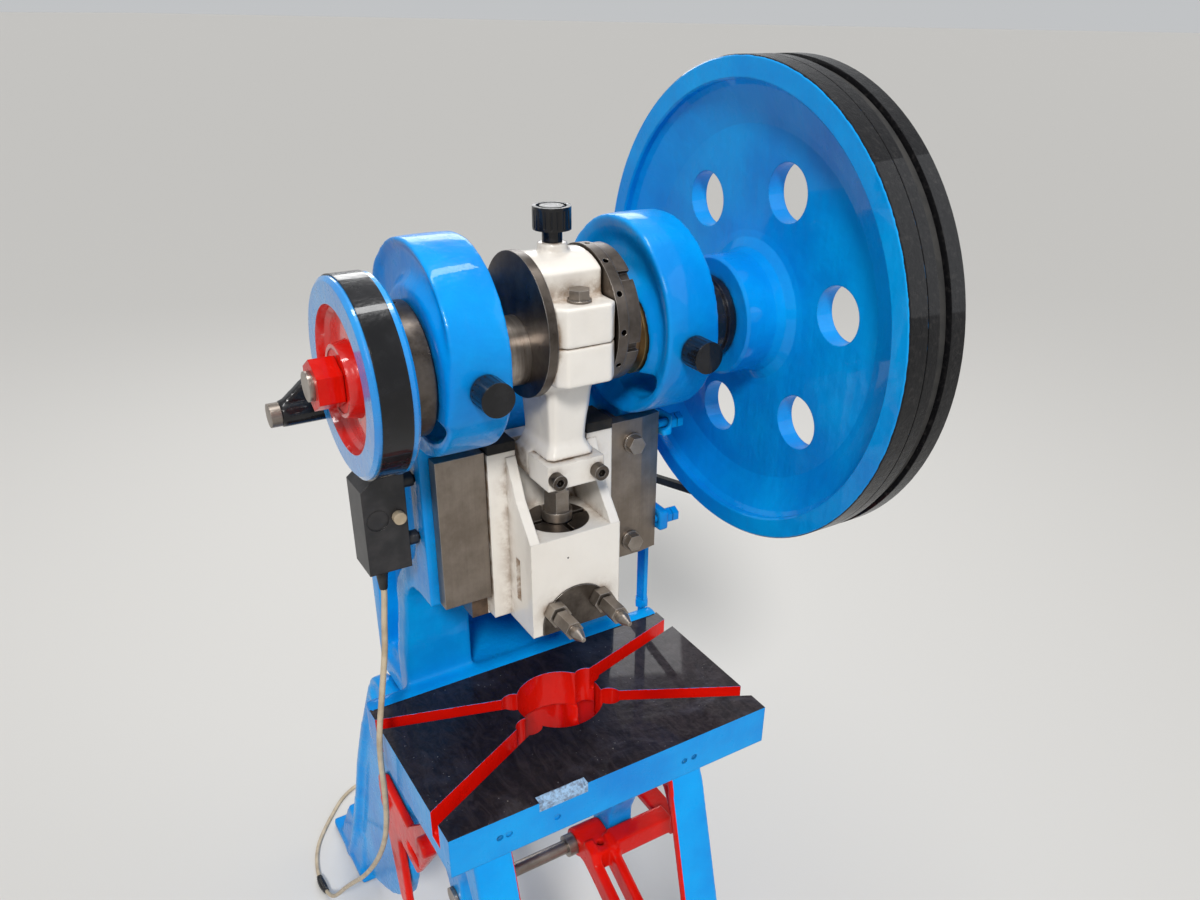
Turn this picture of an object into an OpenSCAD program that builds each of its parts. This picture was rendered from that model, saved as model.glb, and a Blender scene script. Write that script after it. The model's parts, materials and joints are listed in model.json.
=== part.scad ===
// Mechanical stamping press, inclinable C frame, crank driven, pedal tripped.
// Millimetres, +Z up, floor at z = 0, front of the press towards -Y.

/* [Press] */
// height of the table top above the floor
table_h = 700; // [500:1:900]
// height of the crankshaft axis above the table top
axis_up = 460; // [400:1:520]
// throw of the eccentric, half the stroke
throw = 25; // [10:1:30]
// radius of the crankshaft
shaft_r = 35; // [25:1:40]
// half width of the guide channel in the head
channel = 97; // [90:1:110]
// width of the cheeks in the head
cheek_w = 49; // [43:1:54]
// plane of the gib seats on the head, behind the crank axis
seat_y = 28; // [20:1:36]

/* [Table] */
// width of the table
table_w = 420; // [360:1:480]
// depth in front of the crank axis
table_front = 143; // [120:1:180]
// back edge of the machined top
table_back = 100; // [80:1:110]
// thickness of the table edge
table_t = 53; // [40:1:60]
// radius of the blanking hole
hole_r = 54.5; // [40:0.5:60]
// width of the radial slots
slot_w = 19; // [16:0.5:24]
// depth of the radial slots
slot_d = 34; // [25:1:40]

/* [Bosses] */
// radius of the bearing bosses
boss_r = 108; // [100:1:112]
// inner face of the bosses
boss_in = 82; // [78:1:86]
// length of the bosses
boss_l = 68; // [58:1:78]
// bearing bush outer radius
bush_r = 45; // [42:0.5:50]

/* [Flywheel] */
// radius of the flywheel rim
wheel_r = 264.7; // [240:0.1:280]
// width of the rim
rim_w = 77; // [63:1:86]
// pitch radius of the round openings
wheel_pitch = 142; // [130:1:150]
// radius of the round openings
wheel_hole = 31; // [20:1:40]
// radius of the hub
hub_r = 66; // [60:1:70]
// depth of the belt groove
groove_d = 14.7; // [8.7:0.1:24.7]
// middle of the belt groove, from the right face of the rim
groove_in = 29; // [19:1:44]

/* [Brake] */
// radius of the brake drum
drum_r = 94; // [80:1:100]
// width of the drum
drum_w = 42; // [30:1:60]
// distance of the drum from the boss
drum_gap = 30; // [20:1:40]

/* [Ram] */
// half width of the front block
ram_hw = 55.5; // [50:0.5:60]
// front face of the ram block
ram_front = -44; // [-60:1:-30]
// underside of the ram below the crank pin
ram_drop = 346; // [335:1:365]
// radius of the tool shank hole
shank_r = 16; // [10:0.5:20]
// depth of the tool shank hole
shank_l = 46; // [40:1:50]
// radius of the ball end
ball_r = 22; // [20:0.5:24]

/* [Linkage] */
// half width of the pitman
pit_hw = 33; // [28:1:36]
// radius of the journal on the shaft
journal_r = 17; // [15:0.5:20]
// radius of the eccentric flange
flange_r = 72.5; // [66:0.5:76]

/* [Stand] */
// outer plane of the body cheeks, inner plane of the leg webs
leg_in = 137; // [130:1:145]
// thickness of the leg webs
leg_t = 18; // [13:1:23]
// front edge of the front feet, from the crank axis
toe_y = -244; // [-328:1:-134]

/* [Drive] */
// middle of the motor, behind the crank axis
motor_y = 420; // [380:1:460]
// middle of the motor above the table top
motor_z = 150; // [120:1:180]
// root radius of the motor pulley groove
pulley_r = 42; // [36:1:50]

/* [Hidden] */
$fn = 96;
fit = 0.04;
gap = 0.3;
seat = 0.02;
front_end = -330;
back_end = 650;
cheek_out = channel + cheek_w;
leg_web = leg_in + leg_t;
boss_out = boss_in + boss_l;
hub_x0 = boss_out + 50;
hub_x1 = hub_x0 + 84;
web_x0 = hub_x0 + 55;
web_x1 = hub_x0 + 76;
wheel_x0 = web_x0 - 28;
wheel_x1 = wheel_x0 + rim_w;
groove_r = wheel_r - groove_d;
groove_x = wheel_x1 - groove_in;
drum_x1 = -boss_out - drum_gap;
drum_x0 = drum_x1 - drum_w;
band_x = (drum_x0 + drum_x1 - 3) / 2;
post_x0 = drum_x0 - 33;
left_end = post_x0 - 11;
mid_x = (wheel_x1 + left_end) / 2;
mid_y = (front_end + back_end) / 2;
floor_z = -table_h;
pin_z = axis_up + throw;
pit_bore = journal_r + throw * 1.02;
pit_r = pit_bore + 27.5;
ram_low = pin_z - ram_drop;
pit_low = ram_low + 178;
bore_top = pin_z - 77;
shank_x = pit_hw - 5;
screw_x = pit_hw - 8;
cap_y = pit_bore + 14.5;
hub_bore = shaft_r + 9;
ball_z = ram_low + 83;
screw_r = 14;
clamp_screw_r = 5;
cap_bolt_r = 5.4;
cup_stem_r = 6;
stud_r = 8;
ring_r = 36;
clamp_r = ram_hw - 12.5;
pocket_hw = ram_hw - 11.5;
nut_r = 14;
gib_in = channel - 20;
gib_low = axis_up - 288;
gib_top = axis_up - 110;
ram_back = seat_y + 34.1;
ram_top = gib_top - 3;
ram_deck = ram_low + 119;
boss_y = 22;
boss_z = axis_up + 10;
leg_top = -table_t - 2;
apex_z = leg_top - 96;
blue = [0.06, 0.5, 0.85];
red = [0.9, 0.08, 0.06];
white = [0.93, 0.91, 0.86];
black = [0.05, 0.05, 0.06];
steel = [0.5, 0.48, 0.46];
dark = [0.3, 0.28, 0.27];
beige = [0.8, 0.74, 0.6];
grey = [0.45, 0.47, 0.5];
felt = [0.1, 0.1, 0.1];
throat_z = axis_up - 295;
rear_z = axis_up - 301;
crown_z = axis_up + 47;
shaft_z = floor_z + 370;
head_pts = [[118, -table_t], [118, throat_z - 53], [114, throat_z - 31], [104, throat_z - 14],
  [88, throat_z - 4], [66, throat_z], [seat_y, throat_z], [seat_y, axis_up + 20],
  [60, axis_up + 100], [123.5, crown_z], [250, rear_z], [250, -table_t]];
pocket_pts = [[150, -20], [150, throat_z - 40], [143, throat_z - 17], [126, throat_z + 5],
  [92, throat_z + 31], [72, throat_z + 53], [seat_y + 36, throat_z + 80], [seat_y + 36, gib_top],
  [112, axis_up - 88], [140, axis_up - 94], [220, rear_z - 9], [220, -20]];
rear_pts = [[225, leg_top - 5], [250, leg_top - 5], [250, rear_z], [123.5, crown_z],
  [104, crown_z - 7], [225, rear_z - 11]];
roof_pts = [[ram_back + 0.4, throat_z], [ram_back + 0.4, axis_up - 108], [105, axis_up - 75],
  [105, crown_z - 2], [123.5, crown_z], [148, axis_up - 24], [125, axis_up - 80],
  [125, throat_z + 25], [238, throat_z + 25], [240, throat_z]];
lower_pts = [[-50, -table_t], [-45, leg_top - 95], [24, shaft_z + 80], [37, shaft_z + 45],
  [37, shaft_z], [83, shaft_z], [100, shaft_z + 30], [200, shaft_z + 60],
  [250, leg_top - 135], [258, leg_top - 75], [258, leg_top - 35], [250, -table_t]];
front_pts = [[1, 63], [0.86, 62], [0.674, 59], [0.52, 60], [0.38, 60], [0.268, 61]];
arch_pts = [[-32, 33], [8, 8], [60, 0], [112, 8], [150, 35]];
rear_in_pts = [[0.274, 172], [0.38, 184], [0.488, 196], [0.597, 212], [0.682, 238], [0.752, 280],
  [0.822, 330], [0.87, 376], [0.922, 430], [0.957, 477], [1, 477]];
rear_out_pts = [[1, 575], [0.95, 556], [0.783, 500], [0.674, 468], [0.55, 435], [0.43, 405],
  [0.225, 340], [0.062, 281]];
function leg_z(t) = leg_top + (floor_z - leg_top) * t;
function toe(t) = -70 + (toe_y + 70) * t;
web_pts = concat([[-70, leg_top], [toe_y, floor_z]], [for (p = front_pts) [toe(p[0]) + p[1], leg_z(p[0])]],
  [for (p = arch_pts) [p[0], apex_z - p[1]]], [for (p = rear_in_pts) [p[1], leg_z(p[0])]],
  [for (p = rear_out_pts) [p[1], leg_z(p[0])]], [[240, leg_top - 11]]);
front_band = [[-70, leg_top], [toe_y, floor_z], [toe_y + 16, floor_z], [-55, leg_top]];
rear_band = concat([for (p = rear_out_pts) [p[1], leg_z(p[0]) - (p[0] < 1 ? 6 : 0)]],
  [for (i = [7:-1:1]) [rear_out_pts[i][1] - 14, leg_z(rear_out_pts[i][0]) - 12]], [[556, floor_z]]);
band_front = [[leg_in - 24, leg_top + 5], [leg_in + 25, leg_top + 5], [leg_in + 33, floor_z],
  [leg_in - 31, floor_z]];
cup_r = 8;
cup_x = boss_in + 33;
cup_z = axis_up - 2;
studs_x = 29;
studs_z = ram_low + 29;
bolt_x = channel + 9;
bolt_zs = [gib_low + 21, gib_low + 149];
lug_zs = [gib_low + 35, gib_low + 161];
leg_bolt_r = 10;
pedal_r = 10;
leg_bolts_yz = [[10, leg_top - 49], [232, leg_top - 57]];
gib_bolt_r = 6;
lug_r = 5;
plate_bolt_r = 6;
plate_xs = [62, 116];
motor_shaft_r = 12;
shelf_z = motor_z - 102;
plate_zs = [shelf_z - 68, shelf_z - 14];
box_zs = [250, 320];
foot_front = toe_y - 24;
foot_back = 604;
trip_y = 60;
trip_z = axis_up - 99;
latch_x = boss_out + 22.5;
latch_pin_r = 6;
trip_rod_r = 5.5;
rod_x = boss_out + 54;
rod_y = 130;
rod_pin_r = 4;
latch_swing = 12;
rod_eye_r = rod_pin_r + (rod_y - trip_y) * (1 - cos(latch_swing)) + gap;
pedal_y = 60;
pedal_z = shaft_z;
anchor_a = -30;
anchor_l = drum_r + 42.6;
anchor_y = anchor_l * cos(anchor_a);
anchor_z = axis_up + anchor_l * sin(anchor_a);
belt_gap = 0.5;
belt_t = 10;
belt_w = 9.2;
box_x1 = -cheek_out - 12;
box_x0 = box_x1 - 47;
button_r = 7;
button_x = box_x1 - 10;
button_z = box_zs[0] + 36;
cable_pts = [[-186, 62, 224], [-186, 62, 205], [-186, 62, 184], [-190, 60, 150], [-196, 54, 110],
  [-208, 44, 60], [-219, 34, 15], [-221, 36, -30], [-220, 40, -73], [-218, 56, -135],
  [-217, 84, -200], [-217, 130, -275], [-217, 185, -350], [-218, 245, -425],
  [-220, 310, -500], [-222, 372, -573], [-225, 422, -635], [-229, 458, -674],
  [-232, 490, -692], [-234, 523, -696.2], [-228, 566, -696.2], [-214, 606, -696.2],
  [-192, 641, -696.2], [-164, 676, -696.2], [-133, 709, -696.2], [-96, 730, -696.2],
  [-50, 740, -696.2], [0, 742, -696.2], [45, 742, -696.2]];
cable_r = 3.5;
coil_r = 38;
coil_x = 46;
turn_r = 3.8;
turn_step = 7.2;
coil_y = 742 - coil_r - turn_step - turn_r - cable_r - 0.2;

module press() translate([-mid_x, -mid_y, table_h]) children();
module side(x0, x1) translate([x0, 0, 0]) rotate([90, 0, 90]) linear_extrude(x1 - x0) children();
module face(y0, y1) translate([0, y1, 0]) rotate([90, 0, 0]) linear_extrude(y1 - y0) children();
module block(x0, x1, y0, y1, z0, z1) translate([x0, y0, z0]) cube([x1 - x0, y1 - y0, z1 - z0]);
module xcyl(x0, x1, r, y, z) translate([x0, y, z]) rotate([0, 90, 0]) cylinder(h = x1 - x0, r = r);
module ycyl(y0, y1, r, x, z) translate([x, y1, z]) rotate([90, 0, 0]) cylinder(h = y1 - y0, r = r);
module zcyl(z0, z1, r, x, y) translate([x, y, z0]) cylinder(h = z1 - z0, r = r);
module xhex(x0, x1, af, y, z) translate([x0, y, z]) rotate([0, 90, 0])
  cylinder(h = x1 - x0, r = af / sqrt(3), $fn = 6);
module yhex(y0, y1, af, x, z) translate([x, y1, z]) rotate([90, 0, 0])
  cylinder(h = y1 - y0, r = af / sqrt(3), $fn = 6);
module zhex(z0, z1, af, x, y) translate([x, y, z0]) cylinder(h = z1 - z0, r = af / sqrt(3), $fn = 6);
module xrev(y, z) translate([0, y, z]) rotate([0, 90, 0]) rotate_extrude() children();
module both() {
  children();
  mirror([1, 0, 0]) children();
}
module rounded_boss(x0, x1, r, f, y, z) xrev(y, z) {
  translate([0, x0 + f]) square([r, x1 - x0 - 2 * f]);
  translate([0, x0]) square([r - f, x1 - x0]);
  translate([r - f, x0 + f]) circle(r = f);
  translate([r - f, x1 - f]) circle(r = f);
}
module slot_cut(x0, y0, x1, y1) {
  a = atan2(y1 - y0, x1 - x0);
  l = norm([x1 - x0, y1 - y0]);
  translate([x0, y0, -slot_d]) rotate([0, 0, a]) translate([-10, -slot_w / 2, 0])
    cube([l + 40, slot_w, slot_d + 10]);
}

module frame_casting() color(blue) press() difference() {
  union() {
    block(-table_w / 2, table_w / 2, -table_front, 118, -table_t, 0);
    block(-table_w / 2, table_w / 2, table_back, 118, -10, 3);
    block(-leg_in - 1, leg_in + 1, table_back, 240, -table_t, 0);
    both() {
      side(channel, channel + 21) polygon(head_pts);
      side(channel, cheek_out) difference() {
        polygon(head_pts);
        polygon(pocket_pts);
      }
      face(118, 150) polygon([[65, -table_t], [cheek_out + 7, -table_t], [cheek_out + 7, 40],
        [cheek_out, throat_z - 55], [cheek_out, throat_z - 31], [channel, throat_z - 31],
        [65, throat_z - 55]]);
      side(channel, leg_in) {
        polygon(lower_pts);
        translate([pedal_y, pedal_z]) circle(r = 23);
      }
      rounded_boss(boss_in, boss_out, boss_r, 18, boss_y, boss_z);
      xcyl(boss_out - 1, boss_out + 2.5, bush_r + 35, 0, axis_up);
    }
    side(-leg_in - 1, leg_in + 1) polygon(rear_pts);
    side(-channel - 1, channel + 1) polygon(roof_pts);
    block(-channel - 1, channel + 1, 62.5, 78, leg_top - 65, 1 - table_t);
    both() block(34, 46, -40, 226, leg_top - 57, 1 - table_t);
    for (z = lug_zs) block(cheek_out - 2, cheek_out + 14, seat_y - 22, seat_y + 24, z - 15, z + 15);
  }
  both() {
    block(boss_in - 1, boss_out + 5, -100, seat_y, gib_top - 20, axis_up - 38);
    xcyl(boss_in - 1, boss_out + 5, bush_r, 0, axis_up);
    ycyl(-100, -48, cup_r, cup_x, cup_z);
    for (p = leg_bolts_yz) xcyl(channel - 2, leg_in + 2, leg_bolt_r + gap, p[0], p[1]);
    xcyl(channel - 2, leg_in + 2, pedal_r + seat, pedal_y, pedal_z);
    slot_cut(hole_r + 3.5, 25, table_w / 2, 70);
    slot_cut(hole_r + 5.5, -27, table_w / 2, -105);
    zcyl(-table_t - 1, 10, 16, hole_r - 2.5, 25);
    zcyl(-table_t - 1, 10, 16, hole_r + 1.5, -25);
  }
  zcyl(-table_t - 24, 10, hole_r, 0, 2);
  for (x = [-152, -141]) ycyl(-table_front - 1, -table_front + 14, 4, x, -26);
  ycyl(-table_front - 1, -table_front + 14, 4, -82, -32);
  for (x = [90, 104]) ycyl(-table_front - 1, -table_front + 14, 4, x, -31);
  translate([-73, -table_front, 0]) rotate([45, 0, 0]) cube([54, 12, 12], center = true);
  for (z = bolt_zs) ycyl(seat_y - 1, seat_y + 34, gib_bolt_r + 0.1, bolt_x, z);
  for (z = lug_zs) xcyl(cheek_out - 6, cheek_out + 15, lug_r + 0.1, seat_y - 8, z);
  for (z = box_zs) xcyl(-cheek_out - 1, -channel - 23, 4.1, 52, z);
  for (z = plate_zs) for (x = plate_xs) ycyl(230, 251, plate_bolt_r + 0.1, x, z);
  xcyl(channel + 23, cheek_out + 1, 4.1, trip_y - 14, trip_z);
  xcyl(-cheek_out - 1, -channel - 23, 6.1, anchor_y, anchor_z);
}

module leg() difference() {
  union() {
    side(leg_in, leg_web) {
      polygon(web_pts);
      translate(leg_bolts_yz[1]) circle(r = 46);
    }
    intersection() {
      side(leg_in - 37, leg_in + 38) {
        polygon(front_band);
        polygon(rear_band);
      }
      face(-300, 700) polygon(band_front);
    }
    side(leg_in, leg_web + 7) difference() {
      translate(leg_bolts_yz[1]) circle(r = 46);
      translate(leg_bolts_yz[1]) circle(r = 35);
    }
    block(leg_in - 31, leg_in + 33, toe_y - 48, toe_y + 62, floor_z, floor_z + 16);
    block(leg_in - 37, leg_in + 32, 477, back_end, floor_z, floor_z + 18);
  }
  for (p = leg_bolts_yz) xcyl(leg_in - 1, leg_web + 8, leg_bolt_r + gap, p[0], p[1]);
  zcyl(floor_z - 1, floor_z + 40, 8, leg_in, foot_front);
  zcyl(floor_z - 1, floor_z + 20, 8, leg_in, foot_back);
  ycyl(-220, -100, 3, leg_in - 7, leg_z(0.32));
}

module left_leg() color(blue) press() mirror([1, 0, 0]) leg();
module right_leg() color(blue) press() leg();

module leg_bolts() color(blue) press() both() for (p = leg_bolts_yz) {
  xcyl(channel - 13, leg_web + 1, leg_bolt_r, p[0], p[1]);
  xhex(leg_web, leg_web + 13, 30, p[0], p[1]);
  xhex(channel - 12, channel, 30, p[0], p[1]);
}

module crankshaft() color(steel) press() difference() {
  union() {
    xcyl(drum_x0 - 31, drum_x0, nut_r, 0, axis_up);
    xcyl(drum_x0 - 1, drum_x1 + 1, shaft_r - 5, 0, axis_up);
    xcyl(drum_x1, -pit_hw, shaft_r, 0, axis_up);
    xcyl(-pit_hw - 1, pit_hw + 1, journal_r, 0, axis_up);
    xcyl(-pit_hw, pit_hw, journal_r, 0, pin_z);
    xcyl(pit_hw, hub_x1 + 0.6, shaft_r, 0, axis_up);
  }
  for (a = [90, 210, 330]) xcyl(hub_x1 - 22, hub_x1 + 2, 4.05, 20 * cos(a), axis_up + 20 * sin(a));
}

module eccentric_disc() color(dark) press() difference() {
  xcyl(-pit_hw - 10, -pit_hw - gap, flange_r, 0, pin_z);
  xcyl(-pit_hw - 11, -pit_hw + 1, shaft_r + seat, 0, axis_up);
}

module stroke_ring() color(dark) press() difference() {
  xcyl(pit_hw + gap, pit_hw + 12, flange_r - 0.5, 0, pin_z);
  xcyl(pit_hw - 1, pit_hw + 13, shaft_r + seat, 0, axis_up);
  for (a = [0:30:330]) translate([pit_hw + 6.2, 0, pin_z]) rotate([a, 0, 0])
    ycyl(flange_r - 11, flange_r + 1, 3, 0, 0);
}

module stroke_lock_nut() color(dark) press() difference() {
  xcyl(pit_hw + 12, pit_hw + 27, flange_r - 2.5, 0, pin_z);
  xcyl(pit_hw + 11, pit_hw + 28, shaft_r + seat, 0, axis_up);
  for (a = [15:60:315]) translate([pit_hw + 19.5, 0, pin_z]) rotate([a, 0, 0])
    translate([-8, flange_r - 8, -5]) cube([16, 10, 10]);
}

module main_bushes() color([0.7, 0.5, 0.25]) press() both() difference() {
  xcyl(boss_in, boss_out + 2.5, bush_r - seat, 0, axis_up);
  xcyl(boss_in - 1, boss_out + 4, shaft_r + fit, 0, axis_up);
}

module shaft_collar() color(dark) press() difference() {
  rounded_boss(drum_x1, -boss_out - 2.8, 65, 2, 0, axis_up);
  xcyl(drum_x1 - 1, -boss_out, shaft_r + seat, 0, axis_up);
  zcyl(axis_up + 40, axis_up + 70, 4, (drum_x1 - boss_out - 2) / 2, 0);
}

module brake_drum() color(blue) press() difference() {
  xrev(0, axis_up) polygon([[shaft_r - 5 + seat, drum_x0 - 2], [shaft_r - 1, drum_x0 - 2],
    [shaft_r + 2, drum_x0 + 12], [drum_r - 30, drum_x0 + 12], [drum_r - 26, drum_x0 + 8],
    [drum_r - 24.5, drum_x0], [drum_r - 4, drum_x0], [drum_r, drum_x0 + 3], [drum_r, drum_x0 + 8],
    [drum_r - 6.5, drum_x0 + 8], [drum_r - 6.5, drum_x1 - 11], [drum_r, drum_x1 - 11],
    [drum_r, drum_x1 - 3], [drum_r - 3, drum_x1], [shaft_r - 5 + seat, drum_x1]]);
}

module hub_nut() color(red) press() difference() {
  xhex(drum_x0 - 26, drum_x0 - 2, 43, 0, axis_up);
  xcyl(drum_x0 - 27, drum_x0 - 1, nut_r + seat, 0, axis_up);
}

module at_anchor() translate([0, 0, axis_up]) rotate([anchor_a, 0, 0]) children();

module brake_band() color(black) press() difference() {
  union() {
    difference() {
      xcyl(drum_x0 + 8.5, drum_x1 - 11.5, drum_r - 1, 0, axis_up);
      xcyl(drum_x0 + 8, drum_x1 - 11, drum_r - 4, 0, axis_up);
      at_anchor() block(drum_x0, drum_x1, 0, drum_r + 16, -10, 10);
    }
    at_anchor() both_ends() block(band_x - 8.5, band_x + 8.5, drum_r - 3.5, drum_r + 24, 10, 16);
  }
  at_anchor() zcyl(-30, 30, 4.3, band_x, drum_r + 12);
}

module both_ends() {
  children();
  mirror([0, 0, 1]) children();
}

module brake_lining() color([0.35, 0.25, 0.18]) press() difference() {
  xcyl(drum_x0 + 9.5, drum_x1 - 12.5, drum_r - 4, 0, axis_up);
  xcyl(drum_x0 + 9, drum_x1 - 12, drum_r - 6.2, 0, axis_up);
  at_anchor() block(drum_x0, drum_x1, 0, drum_r + 16, -14, 14);
}

module brake_bolt() color(steel) press() at_anchor() {
  zcyl(-20, 34, 4, band_x, drum_r + 12);
  zhex(-23, -16, 13, band_x, drum_r + 12);
  zcyl(16, 18, 8, band_x, drum_r + 12);
  for (z = [18:4:26]) zcyl(z, z + 2, 7.5, band_x, drum_r + 12);
  for (z = [20:4:28]) zcyl(z - 0.5, z + 0.5, 5.5, band_x, drum_r + 12);
  zhex(28, 34, 13, band_x, drum_r + 12);
}

module brake_anchor() color(black) press() difference() {
  union() {
    xcyl(post_x0, -cheek_out, 14, anchor_y, anchor_z);
    xcyl(-cheek_out - 1, -channel - 25, 6, anchor_y, anchor_z);
    xcyl(-cheek_out - 6, -cheek_out, 17, anchor_y, anchor_z);
    face(anchor_y - 4, anchor_y + 4) polygon([[drum_x0 - 6, anchor_z + 5],
      [drum_x0 - 6, anchor_z + 14], [-cheek_out - 10, anchor_z + 34], [-cheek_out - 6, anchor_z + 34],
      [-cheek_out - 6, anchor_z + 5]]);
    at_anchor() block(band_x - 8.5, band_x + 8.5, drum_r + 4, drum_r + 32, -6, 6);
  }
  at_anchor() zcyl(-30, 30, 4.3, band_x, drum_r + 12);
  xcyl(post_x0 - 1, post_x0 + 19, 8 + seat, anchor_y, anchor_z);
}

module brake_pin() color(steel) press() {
  xcyl(post_x0 - 1, post_x0 + 17, 8, anchor_y, anchor_z);
  xcyl(left_end, post_x0, 12.5, anchor_y, anchor_z);
}

module grease_cups() color(black) press() both() {
  ycyl(-86, -50, cup_r - seat, cup_x, cup_z);
  difference() {
    ycyl(-111, -86, 16.5, cup_x, cup_z);
    for (a = [0:20:340]) ycyl(-109, -89, 1.2, cup_x + 17 * cos(a), cup_z + 17 * sin(a));
  }
}

module pitman() color(white) press() difference() {
  union() {
    intersection() {
      xcyl(-pit_hw, pit_hw, pit_r, 0, pin_z);
      block(-pit_hw, pit_hw, -pit_r + 8.6, pit_r + 10, pin_z - 85, pin_z - 7.2);
    }
    block(-pit_hw, pit_hw, -pit_r + 8.6, -30, pin_z - 48, pin_z - 7.2);
    face(-38, 32) polygon([[-pit_hw, pin_z - 39], [pit_hw, pin_z - 39], [pit_hw, pin_z - 45],
      [pit_hw - 4, pin_z - 61], [shank_x, pit_low + 28.3], [-shank_x, pit_low + 28.3],
      [4 - pit_hw, pin_z - 61], [-pit_hw, pin_z - 45]]);
    block(-pit_hw - 0.5, pit_hw + 0.5, 0, 35, pit_low, pit_low + 29);
  }
  xcyl(-pit_hw - 7, pit_hw + 7, pit_bore + 4.5, 0, pin_z);
  zcyl(pit_low - 1, bore_top, screw_r + fit, 0, 0);
  both() ycyl(-60, 24, clamp_screw_r + seat, screw_x, pit_low + 13);
  zcyl(pin_z - 44, pin_z - 5, cap_bolt_r + seat, 0, 4 - cap_y);
  zcyl(pin_z - 33, pin_z - 5, cap_bolt_r + seat, 0, cap_y);
  both() translate([shank_x, -38, pin_z - 145]) rotate([0, 0, 45]) cube([9, 9, 170], center = true);
}

module pitman_cap() color(white) press() difference() {
  union() {
    intersection() {
      xcyl(-pit_hw, pit_hw, pit_r, 0, pin_z);
      block(-pit_hw, pit_hw, -pit_r + 8.6, pit_r + 10, pin_z - 7, pin_z + 115);
    }
    block(-pit_hw, pit_hw, -pit_r + 8.6, -40, pin_z - 7, pin_z + 32);
    zcyl(pin_z + 60, pin_z + pit_r + 8, 15, 0, 0);
  }
  xcyl(-pit_hw - 7, pit_hw + 7, pit_bore + 4.5, 0, pin_z);
  block(-16, 16, -pit_r - 10, 17 - cap_y, pin_z + 32, pin_z + 85);
  block(-16, 16, cap_y - 13, pit_r + 10, pin_z + 32, pin_z + 85);
  zcyl(pin_z - 15, pin_z + 45, cap_bolt_r + seat, 0, 4 - cap_y);
  zcyl(pin_z - 15, pin_z + 45, cap_bolt_r + seat, 0, cap_y);
  zcyl(pin_z + 35, pin_z + 85, cup_stem_r + seat, 0, 0);
}

module pitman_bolts() color(steel) press() for (p = [[4 - cap_y, pin_z - 42], [cap_y, pin_z - 31]]) {
  zcyl(p[1], pin_z + 35, cap_bolt_r, 0, p[0]);
  zcyl(pin_z + 32, pin_z + 34.5, 12, 0, p[0]);
  zhex(pin_z + 34.5, pin_z + 44, 19, 0, p[0]);
}

module pitman_bush() color([0.7, 0.5, 0.25]) press() difference() {
  xcyl(-pit_hw + 0.3, pit_hw - 0.3, pit_bore + 4.5 - seat, 0, pin_z);
  xcyl(-pit_hw - 7, pit_hw + 7, pit_bore, 0, pin_z);
}

module oil_cup() color(black) press() translate([0, 0, pin_z + pit_r]) {
  zcyl(-19, 9, cup_stem_r, 0, 0);
  zcyl(8, 22, 10, 0, 0);
  difference() {
    zcyl(20, 42, 19, 0, 0);
    zcyl(40, 43, 15, 0, 0);
    for (a = [0:20:340]) zcyl(22, 39, 1.2, 19.4 * cos(a), 19.4 * sin(a));
  }
  zcyl(33, 42, 12, 0, 0);
}

module screw_clamp() color(white) press() difference() {
  block(-pit_hw - 0.5, pit_hw + 0.5, -45, -0.6, pit_low, pit_low + 28);
  zcyl(pit_low - 1, pit_low + 29, screw_r + fit, 0, 0);
  both() ycyl(-60, 10, clamp_screw_r + gap, screw_x, pit_low + 13);
}

module clamp_screws() color(dark) press() both() difference() {
  union() {
    ycyl(-56, -45, 8.5, screw_x, pit_low + 13);
    ycyl(-46, 22, clamp_screw_r, screw_x, pit_low + 13);
  }
  yhex(-57, -50, 8, screw_x, pit_low + 13);
}

module adjusting_screw() color(steel) press() {
  translate([0, 0, ball_z]) sphere(r = ball_r);
  zcyl(ball_z, ball_z + 40, screw_r - 1, 0, 0);
  zcyl(ball_z + 37, ball_z + 48, screw_r + 3, 0, 0);
  zhex(ball_z + 47, ball_z + 74, 27, 0, 0);
  zcyl(ball_z + 73, bore_top - 20, screw_r, 0, 0);
}

module ball_ring() color(dark) press() difference() {
  zcyl(ball_z + 1, ball_z + 36, ring_r, 0, 0);
  translate([0, 0, ball_z]) sphere(r = ball_r + 0.06);
  zcyl(ball_z, ball_z + 38, 18, 0, 0);
  for (a = [0, 90]) translate([0, 0, ball_z + 30]) rotate([0, 0, a]) block(-40, 40, -3, 3, 0, 8);
}

module ball_seat() color([0.7, 0.5, 0.25]) press() difference() {
  zcyl(ball_z - 26, ball_z - 1, ring_r, 0, 0);
  translate([0, 0, ball_z]) sphere(r = ball_r + 0.06);
}

module clamp_outline(r) {
  translate([-r, ram_low - 1]) square([2 * r, 11]);
  translate([0, ram_low + 10]) circle(r = r);
}

module ram() color(white) press() difference() {
  union() {
    block(-ram_hw, ram_hw, ram_front, 40, ram_low, ram_deck);
    block(-gib_in + gap, gib_in - gap, 10, ram_back - 0.5, ram_low + 4, ram_top);
    block(-channel + gap, channel - gap, seat_y + gap, ram_back, ram_low, ram_top);
    both() side(pocket_hw, ram_hw) polygon([[ram_front, ram_deck - 1], [12, ram_deck - 1],
      [12, ram_top - 7], [9, ram_top - 7], [-12, ram_deck + 38]]);
  }
  block(-pocket_hw, pocket_hw, -60, 40, ram_deck, ram_top + 13);
  zcyl(ball_z - 26, ram_deck + 42, ring_r + seat, 0, 0);
  zcyl(ram_low - 1, ram_low + shank_l, shank_r, 0, 0);
  face(ram_front - 1, -0.3) clamp_outline(clamp_r + gap);
  both() ycyl(-10, 26, stud_r + seat, studs_x, studs_z);
  block(-ram_hw - 4, -ram_hw + 5.5, -16, -6, ram_low + 33, ram_low + 87);
}

module ram_pads() color(felt) press() both()
  block(pocket_hw, gib_in - 0.5, 9, 54, ram_top, ram_top + 11);

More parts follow.
